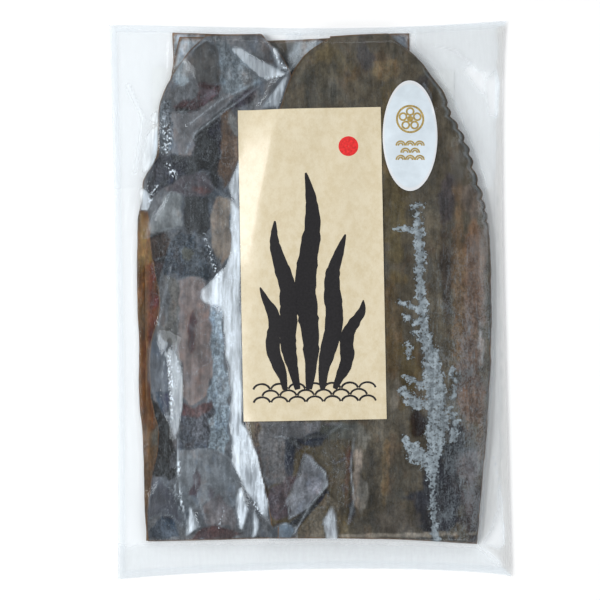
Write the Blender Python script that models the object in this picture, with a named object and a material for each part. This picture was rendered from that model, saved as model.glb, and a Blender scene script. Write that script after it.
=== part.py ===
"""A sealed clear bag of cut dried kelp, with the labels that are stuck on it.

The bag lies on its back: its front faces +Z and its sealed top edge is towards +Y. The
origin is on the surface that it lies on, under the middle of its outline. The kelp is
cut to the bag's length and packed in two stacks side by side, so the bag is thicker on
the right, steps down along a line left of the middle, and thins to flat welded flanges.
Units are metres.
"""

from math import exp, pi, radians, sin, sqrt

import bmesh
import bpy
from mathutils import Matrix, Vector

MM = 0.001

# The bag's outline: four corners, joined by edges that bow inwards. Each bow has its
# depth and the two powers that say where along the edge it is deepest.
BOTTOM_LEFT = Vector((-105.8, -153.5)) * MM
BOTTOM_RIGHT = Vector((110.5, -151.9)) * MM
TOP_LEFT = Vector((-110.5, 151.2)) * MM
TOP_RIGHT = Vector((108.2, 153.5)) * MM
LEFT_BOW = (1.4 * MM, 0.8, 0.8)
RIGHT_BOW = (3.4 * MM, 1.3, 0.5)
TOP_BOW = (3.1 * MM, 1.6, 1.1)
BOTTOM_BOW = (5.0 * MM, 0.9, 0.7)

# Welded flanges, as wide as the film lies flat inside each edge.
SIDE_WELD = 4.5 * MM
TOP_WELD = 3.5 * MM
BOTTOM_WELD = 12.0 * MM
FLANGE_UNDERSIDE = 0.8 * MM
FLANGE_THICK = 1.0 * MM

# The kelp's outline: its left and right edges as (y, x) stations from the cut bottom to
# the cut top.
KELP_BOTTOM = -131.5 * MM
KELP_TOP = 145.8 * MM
KELP_LEFT = ((-132, -89.7), (-60, -93.2), (0, -94.8), (32, -95.5), (66, -91.9), (95, -84.2), (122, -76.2), (146, -75.6))
KELP_RIGHT = ((-134, 91.3), (-60, 97.4), (0, 99.6), (36, 98.6), (66, 91.2), (98, 79.5), (131, 60.6), (147, 54.2))

# Heights of the pile above the surface, and how the film steps down from the right
# stack to the left one between two lines, given as (y, x) stations.
RIGHT_STACK = 12.0 * MM
LEFT_STACK = 8.6 * MM
STACK_EDGE = 0.58
EDGE_FALL = 26.0 * MM
STEP_FOOT = ((-131, -27), (-104, -37), (-77, -44), (-27, -48.5), (14, -44), (66, -43), (94, -37), (122, -14), (146, -8))
STEP_HEAD = ((-131, -19), (-104, -23), (-77, -28), (-27, -30), (14, -26), (66, -22), (94, -18), (122, -7), (146, 2))
VALLEY_DIP = 1.3 * MM
VALLEY_WIDTH = 7.0 * MM
TOP_GAP = (-9.0 * MM, 137.0 * MM)
TOP_GAP_DIP = 2.2 * MM
TOP_GAP_REACH = 15.0 * MM
WAVE_HEIGHT = 0.45 * MM
WAVE_PITCH = 27.0 * MM

# Where the film stands off the kelp over trapped air: (x, y, radius x, radius y, height).
AIR_DOMES = ((-79, 50, 9, 17, 1.2), (-60, -28, 11, 30, 0.9), (-66, -92, 13, 26, 0.8), (20, -95, 9, 24, 0.9))

# The ruffled right edge of the front sheet lifts the film in a row of scallops.
RUFFLE_SPAN = (26.0 * MM, 134.0 * MM)
RUFFLE_HEIGHT = 0.8 * MM
RUFFLE_WIDTH = 6.0 * MM

# Grid of the bag's faces.
COLUMNS = 38
ROWS = 68

# Labels: centre, size, and turn about +Z.
FRONT_LABEL_CENTRE = Vector((1.1, 19.4)) * MM
FRONT_LABEL_SIZE = Vector((78.0, 170.0)) * MM
FRONT_LABEL_TURN = radians(1.1)
STICKER_CENTRE = Vector((54.5, 89.6)) * MM
STICKER_SIZE = Vector((29.9, 60.4)) * MM
BACK_LABEL_CENTRE = Vector((-4.3, 75.0)) * MM
BACK_LABEL_SIZE = Vector((165.6, 104.0)) * MM
BACK_LABEL_TURN = radians(-0.76)
LABEL_THICK = 0.3 * MM
FRONT_GAP = 0.5 * MM
BACK_RECESS = 0.6 * MM
BACK_CLEARANCE = 0.6 * MM


def ease(t):
    """0 to 1, level at both ends."""
    t = min(max(t, 0.0), 1.0)
    return t * t * (3 - 2 * t)


def station_line(stations, y):
    """The x at y, in metres, of the smooth line through (y, x) stations in millimetres."""
    points = [(sy * MM, sx * MM) for sy, sx in stations]
    y = min(max(y, points[0][0]), points[-1][0])
    last = len(points) - 1
    i = next(k for k in range(last) if y <= points[k + 1][0])

    def slope(k):
        low, high = points[max(k - 1, 0)], points[min(k + 1, last)]
        return (high[1] - low[1]) / (high[0] - low[0])

    (y0, x0), (y1, x1) = points[i], points[i + 1]
    span = y1 - y0
    t = (y - y0) / span
    rise = x1 - x0
    start = slope(i) * span
    end = slope(i + 1) * span
    return x0 + start * t + (3 * rise - 2 * start - end) * t * t + (start + end - 2 * rise) * t**3


def bowed(start, end, bow, inward, t):
    """A point on one edge of the bag, from corner to corner."""
    depth, rise, fall = bow
    peak = rise / (rise + fall)
    shape = t**rise * (1 - t) ** fall / (peak**rise * (1 - peak) ** fall)
    return start.lerp(end, t) + inward * (depth * shape)


def bag_point(u, v):
    """The point of the bag's plan at u across and v up, both 0 to 1, inside the bowed edges."""
    left = bowed(BOTTOM_LEFT, TOP_LEFT, LEFT_BOW, Vector((1, 0)), v)
    right = bowed(BOTTOM_RIGHT, TOP_RIGHT, RIGHT_BOW, Vector((-1, 0)), v)
    bottom = bowed(BOTTOM_LEFT, BOTTOM_RIGHT, BOTTOM_BOW, Vector((0, 1)), u)
    top = bowed(TOP_LEFT, TOP_RIGHT, TOP_BOW, Vector((0, -1)), u)
    corners = BOTTOM_LEFT.lerp(BOTTOM_RIGHT, u).lerp(TOP_LEFT.lerp(TOP_RIGHT, u), v)
    return left.lerp(right, u) + bottom.lerp(top, v) - corners


def inside_kelp(x, y):
    """How far (x, y) is inside the kelp's outline, or outside it where negative."""
    left = x - station_line(KELP_LEFT, y)
    right = station_line(KELP_RIGHT, y) - x
    return min(left, right, KELP_TOP - y, y - KELP_BOTTOM)


def inside_weld(x, y):
    """How far (x, y) is inside the welds."""
    v = (y - BOTTOM_LEFT.y) / (TOP_LEFT.y - BOTTOM_LEFT.y)
    v = min(max(v, 0.0), 1.0)
    left = x - bag_point(0, v).x - SIDE_WELD
    right = bag_point(1, v).x - SIDE_WELD - x
    u = (x - BOTTOM_LEFT.x) / (BOTTOM_RIGHT.x - BOTTOM_LEFT.x)
    u = min(max(u, 0.0), 1.0)
    top = bag_point(u, 1).y - TOP_WELD - y
    bottom = y - bag_point(u, 0).y - BOTTOM_WELD
    return max(min(left, right, top, bottom), 0.0)


def fill(x, y):
    """1 over the kelp, falling straight to 0 at the welds, as taut film does."""
    inside = inside_kelp(x, y)
    if inside >= 0:
        return 1.0
    to_weld = inside_weld(x, y)
    return to_weld / (to_weld - inside)


def hump(x, y, centre_x, centre_y, reach_x, reach_y):
    return exp(-(((x - centre_x) / reach_x) ** 2) - ((y - centre_y) / reach_y) ** 2)


def under_label(x, y):
    """1 on open film, falling to a small share under the middle of the stiff front label."""
    return 1 - 0.8 * hump(x, y, *FRONT_LABEL_CENTRE, *FRONT_LABEL_SIZE * 0.55)


def pile_height(x, y):
    """Height of the film over the kelp."""
    foot = station_line(STEP_FOOT, y)
    head = station_line(STEP_HEAD, y)
    height = LEFT_STACK + (RIGHT_STACK - LEFT_STACK) * ease((x - foot) / (head - foot))
    height *= STACK_EDGE + (1 - STACK_EDGE) * ease(0.25 + 0.75 * inside_kelp(x, y) / EDGE_FALL)
    height -= VALLEY_DIP * exp(-(((x - foot) / VALLEY_WIDTH) ** 2))
    height -= TOP_GAP_DIP * hump(x, y, *TOP_GAP, TOP_GAP_REACH, TOP_GAP_REACH)
    height += WAVE_HEIGHT * under_label(x, y) * sin(2 * pi * (x - foot) / WAVE_PITCH)
    for centre_x, centre_y, reach_x, reach_y, rise in AIR_DOMES:
        dome = hump(x, y, centre_x * MM, centre_y * MM, reach_x * MM, reach_y * MM)
        height += rise * MM * dome
    return height


def top_height(x, y):
    """Height of the bag's front."""
    flange = FLANGE_UNDERSIDE + FLANGE_THICK
    return flange + (pile_height(x, y) - flange) * fill(x, y)


def ruffle(x, y, row):
    """Lift of the film over the scalloped right edge, up and down from row to row."""
    low, high = RUFFLE_SPAN
    if not low < y < high:
        return 0.0
    fade = ease((y - low) / (20 * MM)) * ease((high - y) / (10 * MM))
    across = (station_line(KELP_RIGHT, y) - 3 * MM - x) / RUFFLE_WIDTH
    return RUFFLE_HEIGHT * (-1) ** row * fade * exp(-across * across)


def material(name, colour, roughness):
    made = bpy.data.materials.new(name)
    made.use_nodes = True
    shader = made.node_tree.nodes["Principled BSDF"]
    shader.inputs["Base Color"].default_value = (*colour, 1)
    shader.inputs["Roughness"].default_value = roughness
    shader.inputs["Metallic"].default_value = 0.0
    return made


def finish_object(name, mesh_builder, made_of):
    """One object of the scene from a bmesh, shaded smooth with sharp rims."""
    mesh = bpy.data.meshes.new(name)
    bmesh.ops.recalc_face_normals(mesh_builder, faces=mesh_builder.faces[:])
    mesh_builder.to_mesh(mesh)
    mesh_builder.free()
    mesh.materials.append(made_of)
    mesh.shade_smooth()
    mesh.set_sharp_from_angle(angle=radians(40))
    thing = bpy.data.objects.new(name, mesh)
    bpy.context.scene.collection.objects.link(thing)
    return thing


def flat_grid(columns, rows):
    """A bmesh grid over -1 to 1 both ways."""
    made = bmesh.new()
    bmesh.ops.create_grid(made, x_segments=columns, y_segments=rows, size=1.0)
    return made


def make_bag():
    """The filled bag: its front follows the kelp, its back is flat under it."""
    made = flat_grid(COLUMNS, ROWS)
    back = bmesh.ops.extrude_face_region(made, geom=made.faces[:], use_keep_orig=True)
    back_verts = {item for item in back["geom"] if isinstance(item, bmesh.types.BMVert)}
    for vert in made.verts:
        u = (vert.co.x + 1) / 2
        v = (vert.co.y + 1) / 2
        x, y = bag_point(u, v)
        if vert in back_verts:
            z = FLANGE_UNDERSIDE * (1 - fill(x, y))
        else:
            z = top_height(x, y) + ruffle(x, y, round(v * ROWS))
        vert.co = (x, y, z)
    return finish_object("bag", made, material("kelp in clear film", (0.085, 0.078, 0.066), 0.3))


def cut_back_recess(bag):
    """A shallow recess in the bag's back, which the back label lies in."""
    made = bmesh.new()
    bmesh.ops.create_cube(made, size=1.0)
    size_x, size_y = BACK_LABEL_SIZE + Vector((2, 2)) * BACK_CLEARANCE
    stretch = Matrix.Diagonal((size_x, size_y, 2 * BACK_RECESS, 1))
    bmesh.ops.transform(made, matrix=stretch, verts=made.verts[:])
    cutter = finish_object("back_recess_cutter", made, bag.data.materials[0])
    cutter.location = (*BACK_LABEL_CENTRE, 0)
    cutter.rotation_euler.z = BACK_LABEL_TURN
    cutter.hide_render = True
    cutter.display_type = "WIRE"
    cut = bag.modifiers.new("Back recess", "BOOLEAN")
    cut.operation = "DIFFERENCE"
    cut.object = cutter


def stuck_on(name, columns, rows, centre, turn, plan_place, made_of):
    """A label of even thickness that follows the bag's front, a small gap above it."""
    made = flat_grid(columns, rows)
    spin = Matrix.Rotation(turn, 2)
    for vert in made.verts:
        x, y = centre + spin @ plan_place(vert.co.x, vert.co.y)
        vert.co = (x, y, top_height(x, y) + FRONT_GAP)
    label = finish_object(name, made, made_of)
    thick = label.modifiers.new("Thickness", "SOLIDIFY")
    thick.thickness = LABEL_THICK
    thick.offset = 1.0
    return label


def make_front_label(paper):
    half = FRONT_LABEL_SIZE / 2

    def place(a, b):
        return Vector((a * half.x, b * half.y))

    return stuck_on("front_label", 14, 18, FRONT_LABEL_CENTRE, FRONT_LABEL_TURN, place, paper)


def make_sticker():
    half = STICKER_SIZE / 2

    def place(a, b):
        """The square grid drawn in to an oval."""
        return Vector((a * sqrt(1 - b * b / 2) * half.x, b * sqrt(1 - a * a / 2) * half.y))

    silver = material("silver sticker", (0.7, 0.76, 0.81), 0.35)
    return stuck_on("oval_sticker", 10, 16, STICKER_CENTRE, 0.0, place, silver)


def make_back_label(paper):
    """The plain label on the bag's back, flat on the surface under it."""
    made = bmesh.new()
    bmesh.ops.create_cube(made, size=1.0)
    stretch = Matrix.Diagonal((*BACK_LABEL_SIZE, LABEL_THICK, 1))
    bmesh.ops.transform(made, matrix=stretch, verts=made.verts[:])
    label = finish_object("back_label", made, paper)
    label.location = (*BACK_LABEL_CENTRE, LABEL_THICK / 2)
    label.rotation_euler.z = BACK_LABEL_TURN
    return label


def main():
    for thing in list(bpy.data.objects):
        bpy.data.objects.remove(thing)
    paper = material("cream paper", (0.74, 0.66, 0.46), 0.8)
    cut_back_recess(make_bag())
    make_front_label(paper)
    make_sticker()
    make_back_label(paper)


main()
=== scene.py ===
"""A sealed clear bag of cut dried kelp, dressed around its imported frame.

The bag lies on its back. Clear film is drawn over two stacks of kelp sheets, with a tall
paper label, an oval sticker and a back label stuck on the outside. Units are metres, in
the frame's own axes: +Z out of the bag's front, +Y towards its top edge.
"""

from functools import lru_cache
from math import cos, pi, radians, sin
from types import SimpleNamespace

import bpy
import numpy as np
from bpy.props import FloatProperty, FloatVectorProperty, PointerProperty
from bpy.types import Operator, Panel, PropertyGroup
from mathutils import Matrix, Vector
from mathutils.bvhtree import BVHTree


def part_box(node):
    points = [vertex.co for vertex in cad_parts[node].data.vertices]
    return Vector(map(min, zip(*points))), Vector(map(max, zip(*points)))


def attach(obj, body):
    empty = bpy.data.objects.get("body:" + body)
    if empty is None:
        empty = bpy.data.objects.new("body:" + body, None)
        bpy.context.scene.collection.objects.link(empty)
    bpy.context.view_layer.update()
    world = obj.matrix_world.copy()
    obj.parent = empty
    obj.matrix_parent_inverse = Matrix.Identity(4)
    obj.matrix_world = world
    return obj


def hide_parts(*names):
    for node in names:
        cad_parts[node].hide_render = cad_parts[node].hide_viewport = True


bl_info = {
    "name": "Kelp bag",
    "version": (1, 0, 0),
    "blender": (4, 5, 0),
    "location": "3D View > Sidebar > Kelp bag",
    "description": "Builds the film, kelp sheets and labels of a sealed bag of dried kelp",
    "category": "Object",
}

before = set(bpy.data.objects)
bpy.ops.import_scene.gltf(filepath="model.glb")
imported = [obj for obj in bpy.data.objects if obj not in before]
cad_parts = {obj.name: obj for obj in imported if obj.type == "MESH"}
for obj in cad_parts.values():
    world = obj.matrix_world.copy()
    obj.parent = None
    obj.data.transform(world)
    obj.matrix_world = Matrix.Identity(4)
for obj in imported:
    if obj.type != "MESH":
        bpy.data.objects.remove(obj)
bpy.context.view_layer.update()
MM = 0.001


def rgb(red, green, blue):
    """A display colour, 0 to 255 a channel, as linear numbers."""

    def linear(part):
        part /= 255
        return part / 12.92 if part <= 0.04045 else ((part + 0.055) / 1.055) ** 2.4

    return (linear(red), linear(green), linear(blue))


# ---------------------------------------------------------------------------
# The bag's plan: four corners joined by edges that bow inwards, as in the frame.

BOTTOM_LEFT = (-105.8 * MM, -153.5 * MM)
BOTTOM_RIGHT = (110.5 * MM, -151.9 * MM)
TOP_LEFT = (-110.5 * MM, 151.2 * MM)
TOP_RIGHT = (108.2 * MM, 153.5 * MM)
LEFT_BOW = (1.4 * MM, 0.8, 0.8)
RIGHT_BOW = (3.4 * MM, 1.3, 0.5)
TOP_BOW = (3.1 * MM, 1.6, 1.1)
BOTTOM_BOW = (5.0 * MM, 0.9, 0.7)


def eased(t):
    """0 to 1, level at both ends."""
    t = np.clip(t, 0.0, 1.0)
    return t * t * (3 - 2 * t)


def bow(shape, t):
    depth, rise, fall = shape
    peak = rise / (rise + fall)
    return depth * t**rise * (1 - t) ** fall / (peak**rise * (1 - peak) ** fall)


def bag_plan(u, v):
    """x and y of the bag's plan at u across and v up, both 0 to 1."""
    corner = (1 - v) * (1 - u), (1 - v) * u, v * (1 - u), v * u
    corners = (BOTTOM_LEFT, BOTTOM_RIGHT, TOP_LEFT, TOP_RIGHT)
    x = sum(share * point[0] for share, point in zip(corner, corners))
    y = sum(share * point[1] for share, point in zip(corner, corners))
    x = x + (1 - u) * bow(LEFT_BOW, v) - u * bow(RIGHT_BOW, v)
    y = y + (1 - v) * bow(BOTTOM_BOW, u) - v * bow(TOP_BOW, u)
    return x, y


def frame_heights(node, x, y, side):
    """Heights of a frame node's upper (+1) or lower (-1) surface, and the flange's height off it."""
    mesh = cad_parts[node].data
    mesh.calc_loop_triangles()
    corners = [vertex.co.copy() for vertex in mesh.vertices]
    faces = [tuple(triangle.vertices) for triangle in mesh.loop_triangles]
    tree = BVHTree.FromPolygons(corners, faces)
    inwards = Vector((0, 0, -side))
    heights = np.full(x.size, FLANGE_HEIGHT)
    for i, (px, py) in enumerate(zip(x.ravel(), y.ravel())):
        hit = tree.ray_cast(Vector((px, py, side * 0.1)), inwards)[0]
        if hit is not None:
            heights[i] = hit.z
    return heights.reshape(x.shape)


def blurred(field, times):
    """The field with each point averaged with its neighbours, times over."""
    for _ in range(times):
        padded = np.pad(field, 1, mode="edge")
        field = (padded[:-2, 1:-1] + padded[2:, 1:-1] + 2 * field) / 4
        padded = np.pad(field, 1, mode="edge")
        field = (padded[1:-1, :-2] + padded[1:-1, 2:] + 2 * field) / 4
    return field


# ---------------------------------------------------------------------------
# Drawing on a grid

def lumps(x, y, size, seed, stretch=1.0):
    """Smooth random values from -1 to 1, with lumps of a size, drawn out along Y by stretch."""
    table = np.random.default_rng(seed).uniform(-1, 1, (64, 64))
    across, along = x / size + 100, y / (size * stretch) + 100
    i, j = np.floor(across).astype(int), np.floor(along).astype(int)
    s, t = eased(across - i), eased(along - j)

    def at(a, b):
        return table[(i + a) % 64, (j + b) % 64]

    low = at(0, 0) * (1 - s) + at(1, 0) * s
    high = at(0, 1) * (1 - s) + at(1, 1) * s
    return low * (1 - t) + high * t


def segments(points, closed):
    """Pairs of neighbouring points, in metres, of an outline given in millimetres."""
    ends = [(px * MM, py * MM) for px, py in points]
    pairs = list(zip(ends, ends[1:]))
    return pairs + [(ends[-1], ends[0])] if closed else pairs


def from_line(points, x, y, closed=False):
    """Distance of each grid point from a line through points."""
    nearest = np.full(x.shape, np.inf)
    for (ax, ay), (bx, by) in segments(points, closed):
        run, rise = bx - ax, by - ay
        t = np.clip(((x - ax) * run + (y - ay) * rise) / (run * run + rise * rise), 0, 1)
        nearest = np.minimum(nearest, (x - ax - t * run) ** 2 + (y - ay - t * rise) ** 2)
    return np.sqrt(nearest)


def inside(points, x, y):
    """How far each grid point is inside a closed outline, negative outside it."""
    within = np.zeros(x.shape, bool)
    for (ax, ay), (bx, by) in segments(points, True):
        if ay != by:
            across = x < ax + (y - ay) * (bx - ax) / (by - ay)
            within ^= ((ay > y) != (by > y)) & across
    return np.where(within, 1.0, -1.0) * from_line(points, x, y, True)


def stamp(points, x, y, feather=0.5, wander=0.0, seed=1):
    """1 inside an outline and 0 outside, over a soft rim, with a rim that wanders a little."""
    x = x + wander * MM * lumps(x, y, 5 * MM, seed)
    y = y + wander * MM * lumps(x, y, 5 * MM, seed + 50)
    return eased(0.5 + inside(points, x, y) / (2 * feather * MM))


def station_line(stations, y):
    """The x of the line through (y, x) stations in millimetres, rounded at each station."""
    at, value = np.array(stations, float).T * MM
    slope = np.gradient(value, at)
    y = np.clip(y, at[0], at[-1])
    i = np.clip(np.searchsorted(at, y, side="right") - 1, 0, len(at) - 2)
    span = at[i + 1] - at[i]
    t = (y - at[i]) / span
    rise = value[i + 1] - value[i]
    start, end = slope[i] * span, slope[i + 1] * span
    cubic = start * t + (3 * rise - 2 * start - end) * t**2 + (start + end - 2 * rise) * t**3
    return value[i] + cubic


def side_line(points, y):
    """The x of a side edge given by (x, y) points from head to foot."""
    return station_line(sorted((py, px) for px, py in points), y)


# ---------------------------------------------------------------------------
# The film

FILM_PITCH = 0.9 * MM
FLANGE_HEIGHT = 1.3 * MM
FILM_LIFT = 0.1 * MM
SETTLE_REACH = 13.0 * MM

# Flat facets of the taut film: outline, rise to the right, rise upwards, gleam and haze. The haze lays a whitish,
# streaked mist on a facet that stands in for its glare: painted highlight, over the real gleam of its slope. A haze of
# 0 instead clears the margin's haze so the floor shows brighter through it: painted highlight too.
FACETS = {
    "step left of the label": (
        ((-43, 55), (-43.5, 45), (-43.2, 34), (-43.5, 26), (-46.4, 18), (-52.7, 12), (-59.7, 5.5), (-60.5, 1),
         (-56.6, -2.4), (-50, -3), (-48, -6), (-47, -18), (-46, -30), (-44, -36), (-43.6, -42), (-42.7, -51),
         (-43.6, -60), (-44, -68), (-43, -76), (-42.7, -88), (-38.5, -97), (-35, -104.5), (-29.4, -111),
         (-26.6, -117), (-24, -119), (-22.5, -116), (-22.5, -112), (-24.8, -103), (-26.6, -95), (-28.4, -86),
         (-32, -77), (-35, -70), (-37.6, -67), (-37, -40), (-38, 0), (-38.5, 49)),
        0.40, -0.02, 0.3, 0.66,
    ),
    "wedge at the label's corner": (((-38, 78), (-45, 62), (-39, 50)), 0.30, -0.05, 0.2, 0.6),
    "leaf under the step": (
        ((-37.6, -102), (-35, -111), (-34, -114), (-36.7, -126), (-38.5, -125), (-40, -115.5), (-40.4, -109),
         (-39, -103)),
        0.40, 0.0, 0.5, 0.7,
    ),
    "sliver under the step": (
        ((-31, -115), (-28, -120), (-28.4, -125), (-30, -129), (-32, -130), (-31, -124)), 0.40, 0.0, 0.7, 0.75,
    ),
    "point at the lower left": (((-65.5, -112), (-67.2, -121), (-68, -129), (-60.5, -124), (-62, -119)), 0.40, 0.0, 0.5, 0.78),
    "long pane at the left": (
        ((-78, -26), (-78.6, -30), (-78, -38), (-77, -44), (-76.6, -51), (-77, -60), (-76, -66), (-75, -73),
         (-73.4, -74.7), (-72, -71.5), (-71, -65), (-69.7, -56), (-69.5, -47), (-70, -38), (-74, -27)),
        0.40, -0.03, 0.4, 0.5,
    ),
    "chip over the long pane": (
        ((-82.5, -17), (-84, -24), (-83, -27), (-78.6, -28), (-78, -24), (-81, -20)), 0.40, 0.05, 0.4, 0.44,
    ),
    "post at the foot": (((12, -112), (10, -116), (7, -120), (9, -131), (15, -131), (14, -118)), 0.34, 0.0, 0.2, 0.52),
    "blade above the pinch": (
        ((-43, 138), (-38, 138), (-29, 132), (-17, 126), (-13, 124), (-14, 122), (-25, 121), (-28, 122), (-35, 129),
         (-42, 135)),
        0.38, 0.06, 0.22, 0.55,
    ),
    "chip above the pinch": (((-22, 139), (-18, 137), (-16, 131), (-12, 126), (-17, 126), (-20, 133)), 0.40, 0.1, 0.7, 0.4),
    "blade below the pinch": (
        ((-12, 122), (-13.4, 117), (-15.5, 111), (-17, 105), (-26, 105), (-23, 110), (-19, 115), (-15, 120)),
        0.38, 0.0, 0.3, 0.58,
    ),
    "heart at the top right": (((84, 127), (88, 130), (92, 125), (96, 126), (95, 113), (92, 116), (88, 122)), 0.48, 0.05, 1, 0),
    "right flange, upper": (((96, 120), (102, 126), (104, 118), (103, 101), (98, 102)), 0.48, 0.05, 1, 0),
    "right flange, foot": (
        ((101, -86), (104, -101), (103, -116), (99, -127), (95, -134), (103, -136), (107, -134), (105, -105)),
        0.44, -0.03, 1, 0,
    ),
}

# The label bends down over the step on a slope of its own.
LABEL_SLOPE = ((-29, 108), (-18, 108), (-24, 75), (-30, 50), (-35, 25), (-42, 20), (-40, 45), (-36, 75))
LABEL_RISE = 0.40

# Creases: a line, its height (negative for a valley) and its half width, in millimetres.
CREASES = (
    (((-12, 124), (-21, 138), (-28, 146)), -0.7, 3.0),
    (((-12, 124), (-2, 137), (6, 145)), 0.8, 3.5),
    (((-12, 124), (-16, 112), (-18, 104)), 0.7, 3.0),
    (((-12, 124), (-30, 119), (-48, 110), (-66, 96)), 0.5, 3.5),
    (((-28, 117), (-50, 101), (-63, 91), (-68, 80)), -0.5, 2.5),
    (((-45, 62), (-38, 49)), 0.5, 1.6),
    (((-76, 19), (-80, 0), (-83, -14)), 0.6, 2.5),
    (((-78, -23), (-81, -40), (-79, -60), (-73, -76)), 0.5, 2.2),
    (((-72, -76), (-72, -94), (-70, -112), (-66, -128)), 0.45, 2.0),
    (((-63, -92), (-61, -108), (-57, -120)), 0.5, 2.4),
    (((-3, -84), (8, -94), (9, -101), (0, -112), (-9, -128)), 0.5, 2.4),
    (((24, -75), (22, -92), (24, -108), (21, -122)), 0.5, 5.0),
    (((62, 118), (66, 112), (66, 103)), 0.3, 2.0),
    (((88, 130), (80, 137), (68, 140)), 0.5, 4.0),
    (((-100, 118), (-92, 100), (-96, 70)), 0.5, 4.0),
)

# Where the film stands off the kelp over trapped air: outline, lift and haze.
AIR = {
    "beside the pinch": (((-11, 125), (-13, 146), (-4, 146), (-5, 138), (-9, 128)), 0.0, 0.2),
    "side of the pile": (
        ((-83.5, 95), (-87, 93), (-90, 87), (-91.5, 78), (-91.5, 70), (-89, 71), (-86, 75), (-84, 80), (-83.3, 88)),
        0.0, 0.62,
    ),
    "side of the pile, below": (((-92.5, 61), (-89, 60), (-87, 54), (-89, 49), (-93, 50)), 0.0, 0.55),
    "side of the pile, above": (((-83, 104), (-86, 102), (-87, 98.5), (-83.5, 96)), 0.0, 0.55),
    "dome at the left": (
        ((-88, 42), (-80, 52), (-73, 66), (-62, 70), (-52, 61), (-44, 55), (-43, 34), (-43, 26), (-49, 18), (-54, 29),
         (-59, 34), (-70, 39), (-78, 39), (-90, 34)),
        0.45, 0.05,
    ),
    "long dome": (
        ((-72, 11), (-66, 13), (-58, 11), (-56, 4), (-54, -3), (-53, -20), (-54, -45), (-58, -54), (-66, -57),
         (-70, -52), (-70, -38), (-72, -26), (-72, -8)),
        0.4, 0.06,
    ),
    "left of the long dome": (((-88, -22), (-80, -22), (-78, -34), (-77, -52), (-77, -66), (-86, -50), (-88, -44)), 0.3, 0.05),
    "below the long dome": (
        ((-72, -82), (-58, -80), (-47, -84), (-43, -88), (-38, -98), (-41, -112), (-50, -118), (-56, -110), (-68, -116),
         (-74, -104)),
        0.35, 0.06,
    ),
    "under the pinch": (
        ((-75, 103), (-62, 103), (-49, 112), (-42, 113), (-26, 119), (-37, 116), (-50, 103), (-61, 94), (-64, 90),
         (-64, 80), (-75, 80)),
        0.35, 0.06,
    ),
    "top of the left stack": (((-68, 131), (-63, 138), (-57, 143), (-52, 140), (-49, 132), (-48, 118), (-62, 118)), 0.3, 0.03),
    "kite at the foot": (((-3, -84), (8, -94), (9, -101), (0, -112), (-11, -119), (-13, -108), (-7, -97)), 0.4, 0.05),
    "under the label": (((-18, -68), (18, -67), (9, -74), (-8, -76), (-20, -74)), 0.3, 0.04),
    "half round at the foot": (((-22, -125), (-19, -123), (-14, -122), (-8, -124), (-7, -131), (-22, -131)), 0.3, 0.08),
    "lower left corner": (((-89, -120), (-88, -108), (-82, -98), (-74, -106), (-70, -124), (-76, -118), (-84, -118)), 0.3, 0.05),
}

# Haze of the clear margins, where the film lies over nothing: outline and haze. On the right flange and the right edge
# the haze is deep and turns grey, which stands in for the pile's shadow there: painted shade.
MARGIN_HAZE_AND_SHADE = {
    "left flange": (((-112, 152), (-76, 150), (-90, 60), (-95, 0), (-88, -134), (-108, -154)), 0.15),
    "upper left": (((-111, 152), (-77, 148), (-77, 124), (-86, 96), (-93, 60), (-110, 60)), 0.24),
    "right flange": (((94, 60), (96, 30), (99, -30), (97, -60), (92, -134), (112, -152), (108, 60), (100, 66)), 0.46),
    "right edge": (((102, 150), (101, 60), (103.5, -30), (104, -146), (114, -154), (114, 154)), 0.62),
    "top right": (((40, 152), (108, 153), (106, 60), (96, 60), (86, 92), (70, 124), (58, 136), (56, 147)), 0.39),
    "head": (((-108, 154), (108, 154), (108, 147.5), (-108, 147.5)), 0.15),
    "foot": (((-114, -156), (-111, -134), (0, -131.5), (93, -135), (110, -151), (0, -148)), 0.36),
}

# Where the film is crumpled into bright specks: runs of points with a half width, in millimetres.
GLINT_RUNS = (
    ((-71.5, -89, 0.8), (-71.5, -95, 0.9)), ((-71.2, -104, 0.9), (-70.5, -114, 1.1)),
    ((-80, 99, 1.6), (-78, 90, 2.8), (-79, 81, 2.2)), ((-78, 74, 1.4), (-74, 68, 1.8)), ((-84, 62, 1.4), (-88, 54, 1.0)),
    ((-20.5, 138, 0.5), (-17, 131, 0.6), (-13, 126, 0.8)), ((-27, 121, 0.4), (-14, 122, 0.4)),
    ((-77, -30, 0.9), (-76, -50, 0.8), (-75, -64, 0.6)), ((-31, -111, 1.0), (-26, -118, 0.8)),
    ((-47, -112, 0.5), (-50, -126, 0.5)), ((-73, -21, 0.4), (-72, -40, 0.4)), ((-58, 36, 0.6), (-50, 12, 1.2)),
)


class Raster:
    """An even grid over the bag on which its heights and haze are worked out."""

    def __init__(self, pitch):
        low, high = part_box("bag")
        self.pitch = pitch
        self.left, self.foot = low.x - 2 * MM, low.y - 2 * MM
        across = int((high.x + 2 * MM - self.left) / pitch) + 2
        along = int((high.y + 2 * MM - self.foot) / pitch) + 2
        self.x, self.y = np.meshgrid(
            self.left + pitch * np.arange(across), self.foot + pitch * np.arange(along)
        )

    def sample(self, field, x, y):
        """The field's value at any points, between its grid points."""
        across = np.clip((x - self.left) / self.pitch, 0, field.shape[1] - 1.001)
        along = np.clip((y - self.foot) / self.pitch, 0, field.shape[0] - 1.001)
        i, j = across.astype(int), along.astype(int)
        s, t = across - i, along - j
        low = field[j, i] * (1 - s) + field[j, i + 1] * s
        high = field[j + 1, i] * (1 - s) + field[j + 1, i + 1] * s
        return low * (1 - t) + high * t


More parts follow.
